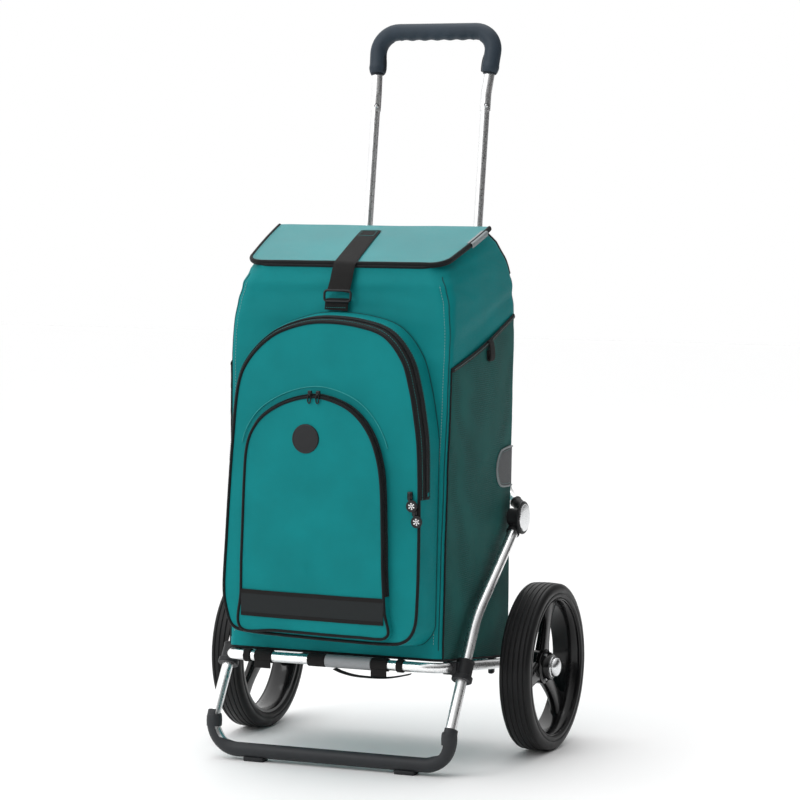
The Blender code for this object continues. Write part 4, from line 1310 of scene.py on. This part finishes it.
FRONT_OUTLINE = ((-148, 226), (-153.5, 260), (-151, 330), (-148, 400), (-144, 470), (-137, 550),
                 (-121, 590), (-86, 624), (-45, 641), (-4, 647), (48, 643), (92, 629), (121, 595),
                 (134, 555), (142, 515), (148, 470), (151, 400), (152, 330), (151.5, 262),
                 (148, 218), (132, 197), (100, 192.5), (40, 193), (-40, 195), (-110, 198),
                 (-137, 204))
SMALL_OUTLINE = ((-121, 204), (-120, 260), (-118.5, 340), (-117, 420), (-114, 465), (-104, 493),
                 (-84, 515), (-50, 533), (-10, 541), (26, 534), (54, 519), (76, 494), (90, 462),
                 (98, 420), (101.5, 350), (103.5, 290), (106, 240), (109, 204), (60, 201),
                 (-60, 203))


def on_front(x, z, off):
    return Vector((x, bag_front(z) - off, z))


def outline_inset(outline, distance):
    """The outline moved inwards, smoothed."""
    count = len(outline)
    out = []
    for i in range(count):
        ax, az = outline[i - 2]
        bx, bz = outline[(i + 2) % count]
        dx, dz = bx - ax, bz - az
        length = sqrt(dx * dx + dz * dz) or 1.0
        x, z = outline[i]
        out.append((x + distance * dz / length, z - distance * dx / length))
    return out


def panel_data(outline, level, puff, seed, rings=26, wrinkle=0.8):
    """A stuffed face inside an outline, built from rings that shrink to the middle."""
    cx = sum(x for x, _ in outline) / len(outline)
    cz = sum(z for _, z in outline) / len(outline)
    span = max(z for _, z in outline) - min(z for _, z in outline)
    points = []
    for r in range(rings):
        s = (r / rings) ** 1.15
        for x, z in outline:
            ox = cx + (x - cx) * (1 - s)
            low = cz - span * 0.24
            high = cz + span * 0.24
            anchor_z = min(max(z, low), high)
            oz = anchor_z + (z - anchor_z) * (1 - s) if s < 1 else anchor_z
            rise = puff * (1 - (1 - s) ** 3.2)
            fade = min(1.0, s * 7.0)
            rise += wrinkle * fade * hills((ox, 0, oz), 70.0, seed)
            rise += wrinkle * 0.8 * fade * max(0.0, hills((ox, 0, oz * 1.3), 30.0, seed + 4)) ** 1.4
            off = level(ox, oz) if callable(level) else level
            points.append(on_front(ox, oz, off + rise))
    count = len(outline)
    faces = loop_faces(rings, count)
    last = (rings - 1) * count
    faces.append(tuple(range(last, last + count)))
    return points, faces


def gusset_data(front, base_out, level, depth_rows, seed, bulge=2.5):
    """The pocket's side wall from the bag face out to the front outline."""
    count = len(front)
    points = []
    for r in range(depth_rows + 1):
        t = r / depth_rows
        for i, (x, z) in enumerate(front):
            bx, bz = base_out[i]
            px, pz = bx + (x - bx) * t, bz + (z - bz) * t
            nx, nz = bx - x, bz - z
            length = sqrt(nx * nx + nz * nz) or 1.0
            swell = bulge * sin(pi * t) + 1.0 * hills((px, t * 40, pz), 32.0, seed) * sin(pi * t)
            px += nx / length * swell
            pz += nz / length * swell
            off = level(px, pz) if callable(level) else level
            points.append(on_front(px, pz, 0.35 + (off - 0.35) * t))
    faces = loop_faces(depth_rows + 1, count)
    return points, faces


def round_hole(outline, level, radius, name, look, offset=0.0):
    line = [on_front(x, z, (level(x, z) if callable(level) else level) + offset) for x, z in outline]
    return piece(name, *tube(resample(line, 2.5, True), radius, (0, 1, 0), 14, True), look, "root",
                 "webbing")


def one_way_round(outline):
    """The outline turned so that every outline runs the same way."""
    if sum(a[0] * b[1] - b[0] * a[1] for a, b in zip(outline, outline[1:])) > 0:
        outline.reverse()
    return outline


def zip_ends(outline, start, end):
    """Indices of the outline points nearest to a zip's two ends, along its shorter way round."""
    first, last = nearest(outline, *start), nearest(outline, *end)
    if (last - first) % len(outline) > len(outline) * 0.7:
        return last, first
    return first, last


def stretch(outline, base, first, last):
    """Pairs of outline and base points from first to last by index, past the end if need be."""
    count = len(outline)
    steps = (last - first) % count + 1
    return [(outline[i % count], base[i % count]) for i in range(first, first + steps)]


def strip_faces(rows):
    """Faces of a thin closed strip: three points a row on the front, then the same on the back."""
    n = 3
    base = rows * n
    faces = loop_faces(rows, n, 0, False) + loop_faces(rows, n, base, False)
    for r in range(rows - 1):
        for c in (0, n - 1):
            a, b = r * n + c, (r + 1) * n + c
            faces.append((a, b, base + b, base + a))
    for r in (0, rows - 1):
        for c in range(n - 1):
            a = r * n + c
            faces.append((a, a + 1, base + a + 1, base + a))
    return faces


def gusset_band(front, base_out, level, first, last, low, high, lift, thick=0.5):
    """A strip that lies on the gusset between two shares of its depth, first to last by index."""
    rows = []
    back = []
    for (x, z), (bx, bz) in stretch(front, base_out, first, last):
        nx, nz = bx - x, bz - z
        length = sqrt(nx * nx + nz * nz) or 1.0
        off = level(x, z) if callable(level) else level
        row = []
        for t in (low, (low + high) / 2, high):
            px = bx + (x - bx) * t + nx / length * (2.5 * sin(pi * t) + lift)
            pz = bz + (z - bz) * t + nz / length * (2.5 * sin(pi * t) + lift)
            row.append(on_front(px, pz, 0.35 + (off - 0.35) * t))
        rows.append(row)
        inward = Vector((-x, 0.0, 400.0 - z)).normalized() * (thick + 1.2)
        back += [p + inward for p in row]
    points = [p for row in rows for p in row]
    return (points + back, strip_faces(len(rows))), rows


def nearest(outline, x, z):
    return min(range(len(outline)), key=lambda i: (outline[i][0] - x) ** 2 + (outline[i][1] - z) ** 2)


def coil(line, pitch=1.6):
    """Two rows of zip teeth along a line."""
    dots = resample(line, pitch)
    parts = []
    for i, (a, b) in enumerate(zip(dots, dots[1:])):
        along = (b - a).normalized()
        side = along.cross(Vector((a.x, 0.0, a.z - 400.0)).normalized()).normalized()
        up = side.cross(along).normalized()
        shift = 0.55 if i % 2 else -0.55
        mid = a.lerp(b, 0.5) + side * shift
        points = []
        for t in (-1.0, -0.5, 0.5, 1.0):
            grow = 0.45 if abs(t) > 0.9 else 1.0
            for k in range(6):
                turn = 2 * pi * k / 6
                points.append(mid + side * (t * 1.9) + (along * cos(turn) * 0.62
                              + up * sin(turn) * 0.9) * grow)
        faces = loop_faces(4, 6)
        faces += [tuple(range(6)), tuple(range(18, 24))]
        parts.append((points, faces))
    return merge(*parts)


def front_level(x, z):
    return 46.6


def small_level(x, z):
    """The small pocket stands off most at its top and runs into the panel at the bottom."""
    return 61.2 - 6.0 * max(0.0, min(1.0, (300.0 - z) / 100.0))


def make_pockets():
    front = one_way_round(smooth_outline(FRONT_OUTLINE))
    base = [(x * 1.01, z) for x, z in outline_inset(front, -12.0)]
    base = [(max(-161.0, min(161.0, x)), max(187.0, z)) for x, z in base]
    panel, faces = panel_data(outline_inset(front, 1.2), 46.4, 2.4, 1.7)
    gusset, more = gusset_data(front, base, front_level, 14, 3.3)
    piece("front_pocket_face", panel, faces, FABRIC, "root", "fabric", ["front_pocket"], sharp=60)
    piece("front_pocket_gusset", gusset, more, FABRIC, "root", "fabric", sharp=80)
    round_hole(front, 46.6, 2.3, "front_pocket_piping", PIPING)
    # A thin dark teal tube round the pocket's base outline: painted shade where the gusset meets the
    # bag, not a seam.
    round_hole(base, 0.6, 0.9, "front_pocket_painted_shade_line", DARK_TEAL_EDGE_AND_SHADE)
    first, last = zip_ends(front, (-146, 440), (151, 398))
    band, rows = gusset_band(front, base, front_level, first, last, 0.52, 0.95, 0.5)
    line = [row[1] for row in rows]
    piece("front_zip_tape", *band, TAPE, "root", "webbing")
    piece("front_zip_coil", *coil([p + Vector((0.012 * p.x, 0, 0.6)) for p in line]), COIL, "root",
          "black_plastic")
    for share, word in ((0.55, "rear"), (0.88, "front")):
        _, rows = gusset_band(front, base, front_level, first, last, share, share + 0.02, 1.0)
        seam = [row[0] for row in rows]
        piece(f"front_zip_thread_{word}",
              *stitches(seam, lambda p: Vector((p.x, 0, p.z - 400)).normalized(), 4.0, 2.6, 0.3),
              THREAD, "root", "fabric")
    small = one_way_round(smooth_outline(SMALL_OUTLINE, 3.5))
    small_base = outline_inset(small, -3.4)
    small_base = [(x, max(198.5, z)) for x, z in small_base]
    panel, faces = panel_data(outline_inset(small, 1.0), small_level, 1.5, 6.2, 24, 0.6)
    piece("small_pocket_face", panel, faces, FABRIC, "root", "fabric", ["small_pocket"], sharp=60)
    points, more = lifted_gusset(small, small_base, 47.4, small_level, 8)
    piece("small_pocket_gusset", points, more, FABRIC, "root", "fabric", sharp=80)
    line = [on_front(x, z, small_level(x, z) + 0.2) for x, z in small]
    piece("small_pocket_piping", *tube(resample(line, 2.5, True), 2.1, (0, 1, 0), 14, True), PIPING,
          "root", "webbing")
    rows = []
    for (x, z), (bx, bz) in stretch(small, small_base, *zip_ends(small, (-100, 497), (104, 262))):
        nx, nz = bx - x, bz - z
        length = sqrt(nx * nx + nz * nz) or 1.0
        rows.append([on_front(x + nx / length * (1.4 + 2.6 * t), z + nz / length * (1.4 + 2.6 * t),
                              small_level(x, z) - 1.4 - 9.5 * t) for t in (0.0, 0.5, 1.0)])
    pts = [p for row in rows for p in row]
    back = [p + Vector((-p.x * 0.012, 0.6, 0)) for p in pts]
    piece("small_zip_tape", pts + back, strip_faces(len(rows)), TAPE, "root", "webbing")
    line = [row[1] + Vector((0.01 * row[1].x, -0.4, 0.5)) for row in rows]
    piece("small_zip_coil", *coil(line, 1.5), COIL, "root", "black_plastic")
    arch = [(x, z) for x, z in outline_inset(small, -14.0) if z > 470.0]
    arch = order_by_angle(arch)
    seam = [on_front(x, z, panel_height(x, z) + 0.1) for x, z in arch]
    piece("small_pocket_arch_seam", *tube(resample(seam, 3.0), 0.7, (0, 1, 0), 8), THREAD, "root",
          "fabric")


def panel_height(x, z):
    """How far the front pocket's face stands off the bag, roughly."""
    return 46.4 + 2.4 + 0.5


def order_by_angle(points):
    return sorted(points, key=lambda p: atan2(p[0] + 8.0, p[1] - 380.0))


def lifted_gusset(front, base, low_off, level, rows):
    count = len(front)
    points = []
    for r in range(rows + 1):
        t = r / rows
        for i, (x, z) in enumerate(front):
            bx, bz = base[i]
            px, pz = bx + (x - bx) * t, bz + (z - bz) * t
            high = level(x, z)
            points.append(on_front(px, pz, low_off + (high - low_off) * t))
    return points, loop_faces(rows + 1, count)


make_pockets()


# ---------------------------------------------------------------- trims on the bag


def make_trims():
    badge = []
    faces = []
    profile = ((0.0, 0.0), (20.6, 0.0), (21.0, 0.8), (20.6, 1.9), (19.4, 2.4), (18.8, 2.0), (0.0, 2.0))
    count = 72
    rows = []
    for radius, out in profile:
        if radius < 1e-6:
            rows.append((len(badge), False))
            badge.append(on_front(-20.0, 481.0, 62.2 + out))
        else:
            rows.append((len(badge), True))
            for k in range(count):
                turn = 2 * pi * k / count
                badge.append(on_front(-20.0 + radius * cos(turn), 481.0 + radius * sin(turn),
                                      62.2 + out))
    for (a, a_ring), (b, b_ring) in zip(rows, rows[1:]):
        for c in range(count):
            d = (c + 1) % count
            if a_ring and b_ring:
                faces.append((a + c, a + d, b + d, b + c))
            elif b_ring:
                faces.append((a, b + d, b + c))
            else:
                faces.append((a + c, a + d, b))
    piece("badge_skin", badge, faces, PLASTIC, "root", "black_plastic", ["front_badge"], sharp=30)
    strip_rows = []
    for k in range(81):
        s = k / 80
        x = -119.5 + 224.0 * s
        dip = 1.5 * sin(pi * s)
        strip_rows.append((x, dip))

    def strip(name, low, high, off, look, slot, nodes=()):
        points = []
        for x, dip in strip_rows:
            for z, out in ((low, 0.0), (low, off), ((low + high) / 2, off + 0.3), (high, off),
                           (high, 0.0)):
                zz = z - dip + (-2.2 if x > 0 else 0) * (x / 105.0 if x > 0 else 0)
                points.append(on_front(x, zz, face_out(x, zz) + out))
        faces = loop_faces(81, 5)
        faces += [tuple(range(5)), tuple(range(400, 405))]
        piece(name, points, faces, look, "root", slot, nodes, sharp=40)

    strip("band_skin", 227.5, 255.5, 0.7, BAND, "reflective", ["reflective_band"])
    strip("band_edge_low", 222.5, 227.8, 1.1, BLACK_WEB, "webbing")
    strip("band_edge_high", 255.2, 261.0, 1.1, BLACK_WEB, "webbing")


def face_out(x, z):
    """Stand-off of the small pocket's face at a point."""
    edge = min(1.0, max(0.0, (105.0 - abs(x + 7.0)) / 60.0))
    low = max(0.0, min(1.0, (z - 203.0) / 60.0))
    return small_level(x, z) + 1.7 * (0.35 + 0.65 * min(edge, low)) + 0.35


make_trims()


# ---------------------------------------------------------------- side pockets and patches

SIDE_TREE = {}


def side_surface():
    """Search trees over the bag's side points, one for each side."""
    for _, side in SIDES:
        dots = [p for ring in BAG for p in ring if p.x * side > 130.0]
        tree = kdtree.KDTree(len(dots))
        for i, p in enumerate(dots):
            tree.insert(Vector((0.0, p.y, p.z)), i)
        tree.balance()
        SIDE_TREE[side] = (tree, dots)


def side_x(side, y, z):
    tree, dots = SIDE_TREE[side]
    total, weight = 0.0, 0.0
    for _, index, dist in tree.find_n(Vector((0.0, y, z)), 4):
        w = 1.0 / (dist + 0.3)
        total += abs(dots[index].x) * w
        weight += w
    return total / weight


def mesh_point(side, u, v, lift=0.0):
    top_front, top_rear = 579.0, 645.0
    y_top = -213.0 + 236.5 * u
    y_low = -231.0 + 254.5 * u
    z_top = top_front + (top_rear - top_front) * u - 2.5 * sin(pi * u)
    z_low = 168.5 - 0.1254 * (y_low + 242.0)
    y = y_low + (y_top - y_low) * v
    z = z_low + (z_top - z_low) * v
    puff = 1.7 * sin(pi * u) * min(1.0, v / 0.1) + 0.7 * hills((side * 60, y, z), 55.0, 4.0)
    edge = min(1.0, u / 0.05, (1 - u) / 0.05, v / 0.03)
    puff = max(0.0, puff) * max(0.0, edge)
    return Vector((side * (side_x(side, y, z) + 0.55 + puff + lift), y, z))


def make_side_pockets():
    side_surface()
    for word, side in SIDES:
        cols, rows = 56, 90
        points = []
        for layer in (0.0, -1.0):
            for r in range(rows + 1):
                for c in range(cols + 1):
                    points.append(mesh_point(side, c / cols, r / rows, layer + 0.45))
        base = (rows + 1) * (cols + 1)
        faces = loop_faces(rows + 1, cols + 1, 0, False)
        faces += loop_faces(rows + 1, cols + 1, base, False)
        for r in range(rows):
            for c in (0, cols):
                a = r * (cols + 1) + c
                b = a + cols + 1
                faces.append((a, b, base + b, base + a))
        for c in range(cols):
            for r in (0, rows):
                a = r * (cols + 1) + c
                faces.append((a, a + 1, base + a + 1, base + a))
        piece(f"side_mesh_{word}", points, faces, MESH, "root", "mesh", [f"side_pocket_{word}"],
              sharp=60)
        hem = [mesh_point(side, k / 60, 1.0, 1.0) for k in range(61)]
        section = [(3.6 * cos(2 * pi * k / 16), 1.5 * sin(2 * pi * k / 16)) for k in range(16)]
        piece(f"side_mesh_hem_{word}", *sweep_data(resample(hem, 3.0), section, (0, 0, 1)), PIPING,
              "root", "webbing")
        sew = [p + Vector((side * 1.6, 0, 0)) for p in hem[1:-1]]
        piece(f"side_mesh_thread_{word}", *stitches(resample(sew, 3.0), (side, 0, 0), 3.8, 2.4, 0.3),
              THREAD_PALE, "root", "webbing")
        front = [mesh_point(side, 0.0, k / 80, 0.6) for k in range(81)]
        piece(f"side_mesh_edge_{word}", *tube(resample(front, 4.0), 1.3, (0, 1, 0), 10), PIPING,
              "root", "webbing")
        make_patch(word, side)
        make_tab(word, side)


def patch_outline():
    pts = [(22.5, 450.0), (6.0, 450.3), (-12.0, 449.0)]
    for k in range(9):
        turn = radians(112 + 136 * k / 8)
        pts.append((-13.0 + 29.5 * cos(turn), 421.0 + 29.0 * sin(turn) * 0.98))
    return pts + [(-12.0, 392.8), (6.0, 391.8), (22.5, 392.0)]


def outer_side(side, y, z):
    return side_x(side, y, z) + 2.6


def make_patch(word, side):
    outline = patch_outline()
    dense = resample([Vector((0, y, z)) for y, z in outline], 2.0)
    cy, cz = 2.0, 421.0
    rings = 10
    points = []
    for r in range(rings):
        s = r / rings
        for p in dense:
            y, z = p.y + (cy - p.y) * s, p.z + (cz - p.z) * s
            rise = 0.5 + 1.1 * (1 - (1 - s) ** 3)
            points.append(Vector((side * (outer_side(side, y, z) + rise), y, z)))
    count = len(dense)
    faces = loop_faces(rings, count)
    faces.append(tuple(range((rings - 1) * count, rings * count)))
    low = len(points)
    points += [Vector((side * (outer_side(side, p.y, p.z) - 1.0), p.y, p.z)) for p in dense]
    for c in range(count):
        d = (c + 1) % count
        faces.append((c, d, low + d, low + c))
    faces.append(tuple(range(low, low + count)))
    piece(f"patch_skin_{word}", points, faces, PATCH, "root", "trim_grey", [f"side_patch_{word}"],
          sharp=50)
    rim = [Vector((side * (outer_side(side, p.y, p.z) + 0.8), p.y, p.z)) for p in dense]
    piece(f"patch_piping_{word}", *tube(rim, 1.5, (0, 1, 0), 12), PALE, "root", "trim_grey")
    sew = []
    for p in dense[3:-3]:
        way = Vector((0, cy - p.y, cz - p.z)).normalized() * 4.2
        y, z = p.y + way.y, p.z + way.z
        sew.append(Vector((side * (outer_side(side, y, z) + 1.25), y, z)))
    piece(f"patch_thread_{word}", *stitches(sew, (side, 0, 0), 3.4, 2.2, 0.3), THREAD_PALE, "root",
          "trim_grey")


def make_tab(word, side):
    x0 = outer_side(side, -83.0, 600.0)
    path = [(x0 - 0.2, 613.5), (x0 + 1.8, 614.4), (x0 + 4.0, 611.0), (x0 + 5.4, 604.0),
            (x0 + 6.2, 595.0), (x0 + 5.6, 588.0), (x0 + 3.6, 585.0), (x0 + 1.6, 586.5),
            (x0 + 0.9, 592.0), (x0 + 0.8, 600.0)]
    line = resample(spline([Vector((side * x, -83.0, z)) for x, z in path]), 1.2)
    ribbon(line, 19.0, 1.5, (side * 0.3, 0, 1), BLACK_WEB, f"tab_skin_{word}", "root", "webbing",
           [f"pull_tab_{word}"])


def spline(points, steps=8):
    """An open Catmull-Rom curve through points."""
    pts = [points[0] * 2 - points[1]] + list(points) + [points[-1] * 2 - points[-2]]
    out = []
    for a, b, c, d in zip(pts, pts[1:], pts[2:], pts[3:]):
        for k in range(steps):
            t = k / steps
            out.append(0.5 * ((2 * b) + (c - a) * t + (2 * a - 5 * b + 4 * c - d) * t * t
                              + (3 * b - a - 3 * c + d) * t ** 3))
    out.append(Vector(points[-1]))
    return out


make_side_pockets()


# ---------------------------------------------------------------- zips


def front_data(data):
    """Data made flat at (x, off, z), placed on the front."""
    points, faces = data
    return [on_front(p.x, p.z, p.y) for p in points], faces


def disc_data(cx, cz, off, radius, thick, count=40):
    profile = ((0.0, 0.0), (radius - 0.6, 0.0), (radius, 0.6), (radius, thick - 0.6),
               (radius - 0.5, thick - 0.05), (radius - 1.2, thick), (radius - 1.6, thick - 0.35),
               (0.0, thick - 0.35))
    points = []
    rows = []
    for r, out in profile:
        rows.append((len(points), r > 1e-6))
        if r > 1e-6:
            points += [Vector((cx + a, off + out, cz + b)) for a, b in circle(r, count)]
        else:
            points.append(Vector((cx, off + out, cz)))
    faces = []
    for (a, a_ring), (b, b_ring) in zip(rows, rows[1:]):
        for c in range(count):
            d = (c + 1) % count
            if a_ring and b_ring:
                faces.append((a + c, a + d, b + d, b + c))
            elif b_ring:
                faces.append((a, b + d, b + c))
            else:
                faces.append((a + c, a + d, b))
    return points, faces


def star_data(cx, cz, off):
    """Six plain arms with a dot at each end."""
    parts = []
    for k in range(6):
        turn = radians(60 * k + 8)
        bar = rounded_box((-0.55, off, 0.8), (0.55, off + 0.5, 5.0), 0.2, 1)
        knob = rounded_box((-1.2, off, 3.6), (1.2, off + 0.5, 4.7), 0.25, 1)
        for data in (bar, knob):
            points = [Vector((cx + p.x * cos(turn) - p.z * sin(turn), p.y,
                              cz + p.x * sin(turn) + p.z * cos(turn))) for p in data[0]]
            parts.append((points, data[1]))
    return merge(*parts)


def make_zips():
    for k, (x, z) in enumerate(((138.0, 405.0), (146.0, 383.0))):
        body = rounded_box((x - 4.0, 47.6, z - 6.0), (x + 4.0, 50.4, z + 6.0), 1.2)
        waist = rounded_box((x - 2.2, 49.8, z - 4.6), (x + 2.2, 51.6, z + 4.6), 0.8)
        piece(f"zip_slider_skin_{k + 1}", *front_data(merge(body, waist)), GLOSS, "root", "steel",
              [f"zip_slider_{k + 1}"])
        cx, cz = x + 4.5, z - 14.0
        link = rounded_box((-1.6, 52.2, 0.0), (1.6, 53.4, 9.0), 0.4)
        lean = atan2(cx - x, (z - 4.0) - cz)
        points = [Vector((x + p.x * cos(lean) + p.z * sin(lean), p.y,
                          z - 4.0 + p.x * sin(lean) - p.z * cos(lean))) for p in link[0]]
        disc = disc_data(cx, cz, 51.6, 8.5, 2.6)
        piece(f"zip_pull_skin_{k + 1}", *front_data(merge(disc, (points, link[1]))), PLASTIC,
              f"pull_{k + 1}", "black_plastic", [f"zip_pull_{k + 1}"], sharp=30)
        piece(f"zip_pull_star_{k + 1}", *front_data(star_data(cx, cz, 53.75)), WHITE,
              f"pull_{k + 1}", "black_plastic")
    for k, x in enumerate((-15.0, -2.0)):
        loop = [on_front(x + 2.4 * cos(2 * pi * i / 40), 538.5 + 6.6 * sin(2 * pi * i / 40), 64.4)
                for i in range(40)]
        piece(f"zip_pull_skin_{k + 3}", *tube(loop, 0.95, (0, 1, 0), 10, True), GLOSS,
              f"pull_{k + 3}", "black_plastic", [f"zip_pull_{k + 3}"])
        body = rounded_box((x - 3.2, 60.0, 543.4), (x + 3.2, 63.4, 550.0), 1.0)
        piece(f"small_slider_{k + 1}", *front_data(body), GLOSS, "root", "black_plastic")


make_zips()


# ---------------------------------------------------------------- straps under the bag


def wrap_data(left, right, inner=7.75, outer=9.35, ridge=0.25):
    profile = []
    profile.append((left, inner))
    profile.append((left, outer - 0.5))
    profile.append((left + 0.5, outer))
    steps = max(2, int((right - left) / 1.1))
    for k in range(1, steps):
        profile.append((left + 0.5 + (right - left - 1.0) * k / steps,
                        outer + (ridge if k % 2 else 0.0)))
    profile.append((right - 0.5, outer))
    profile.append((right, outer - 0.5))
    profile.append((right, inner))
    return turned(profile, RAIL_FRONT, 56)


def make_platform_straps():
    bands = ((1, -136.0, -125.0), (2, -118.0, -91.0), (3, -33.0, -5.3), (4, 67.3, 93.0),
             (5, 107.0, 117.0))
    for k, left, right in bands:
        end = rounded_box((left + 0.6, -258.6, 139.6), (right - 0.6, -256.4, 151.0), 0.8)
        parts = [wrap_data(left, right)]
        if k in (2, 4):
            parts.append(end)
        piece(f"platform_strap_skin_{k}", *merge(*parts), BLACK_WEB, "root", "webbing",
              [f"platform_strap_{k}"], sharp=50)
    piece("platform_wrap_skin", *wrap_data(-5.0, 67.0, ridge=0.1), WRAP, "root", "reflective",
          ["platform_wrap"], sharp=50)
    line = spline([Vector(p) for p in ((8.0, -250.0, 145.2), (20.0, -250.4, 141.0),
                                       (40.0, -251.0, 137.4), (64.0, -251.2, 136.6),
                                       (88.0, -251.0, 137.4), (108.0, -250.6, 140.6),
                                       (126.0, -250.0, 145.0))])
    ribbon(resample(line, 2.5), 14.0, 1.5, (0, 0, 1), BLACK_WEB, "strap_tail_skin", "root",
           "webbing", ["strap_tail"])


make_platform_straps()


# ---------------------------------------------------------------- carried-over nodes

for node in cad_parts.values():
    if not node.hide_render:
        for k in range(len(node.material_slots)):
            node.material_slots[k].material = PLASTIC


# ---------------------------------------------------------------- floor, light, camera


def make_floor():
    mesh = bpy.data.meshes.new("floor")
    mesh.from_pydata([(-9, -9, 0), (9, -9, 0), (9, 9, 0), (-9, 9, 0)], [], [(0, 1, 2, 3)])
    floor = bpy.data.objects.new("floor", mesh)
    bpy.context.scene.collection.objects.link(floor)
    look = Look("floor_pale", (0.93, 0.93, 0.93), 0.7)
    look.link(look.spread(look.noise(3.0, 2.0), 0.66, 0.74), look.shader.inputs["Roughness"])
    mesh.materials.append(look.mat)


def lamp(name, place, aim, size, power, colour=(1.0, 1.0, 1.0)):
    data = bpy.data.lights.new(name, "AREA")
    data.shape = "RECTANGLE"
    data.size, data.size_y = size
    data.energy = power
    data.color = colour
    obj = bpy.data.objects.new(name, data)
    bpy.context.scene.collection.objects.link(obj)
    obj.location = place
    obj.rotation_mode = "QUATERNION"
    obj.rotation_quaternion = (Vector(aim) - Vector(place)).to_track_quat("-Z", "Y")


def make_light():
    """A white studio that is brighter above and to the left than to the right."""
    world = bpy.data.worlds.new("studio")
    bpy.context.scene.world = world
    world.use_nodes = True
    tree = world.node_tree
    back = tree.nodes["Background"]
    back.inputs["Color"].default_value = (1.0, 1.0, 1.0, 1.0)
    coords = tree.nodes.new("ShaderNodeTexCoord")
    split = tree.nodes.new("ShaderNodeSeparateXYZ")
    tree.links.new(coords.outputs["Generated"], split.inputs[0])

    def ease(source, start, end, low, high):
        made = tree.nodes.new("ShaderNodeMapRange")
        made.interpolation_type = "SMOOTHSTEP"
        for key, value in (("From Min", start), ("From Max", end), ("To Min", low), ("To Max", high)):
            made.inputs[key].default_value = value
        tree.links.new(source, made.inputs["Value"])
        return made.outputs[0]

    across = ease(split.outputs["X"], -0.15, 0.5, 1.0, 0.05)
    above = ease(split.outputs["Z"], 0.25, 0.95, 0.0, 0.7)
    total = tree.nodes.new("ShaderNodeMath")
    total.operation = "ADD"
    tree.links.new(across, total.inputs[0])
    tree.links.new(above, total.inputs[1])
    tree.links.new(total.outputs[0], back.inputs["Strength"])
    lamp("key", (-1.6, -2.6, 2.4), (0.0, 0.0, 0.5), (1.4, 1.4), 20.0)
    lamp("top", (-0.2, 0.2, 2.9), (0.0, 0.0, 0.6), (2.0, 1.4), 14.0)


def make_camera():
    data = bpy.data.cameras.new("camera")
    data.lens = 139.33
    data.sensor_width = 36.0
    camera = bpy.data.objects.new("camera", data)
    bpy.context.scene.collection.objects.link(camera)
    camera.location = (1.846947, AXLE_Y - 4.275708, 0.907676)
    camera.rotation_euler = Euler((radians(90.0 - 4.8193), 0.0, radians(23.3326)))
    data.clip_end = 60.0
    bpy.context.scene.camera = camera


bpy.context.scene.view_settings.view_transform = "Standard"
make_floor()
make_light()
make_camera()
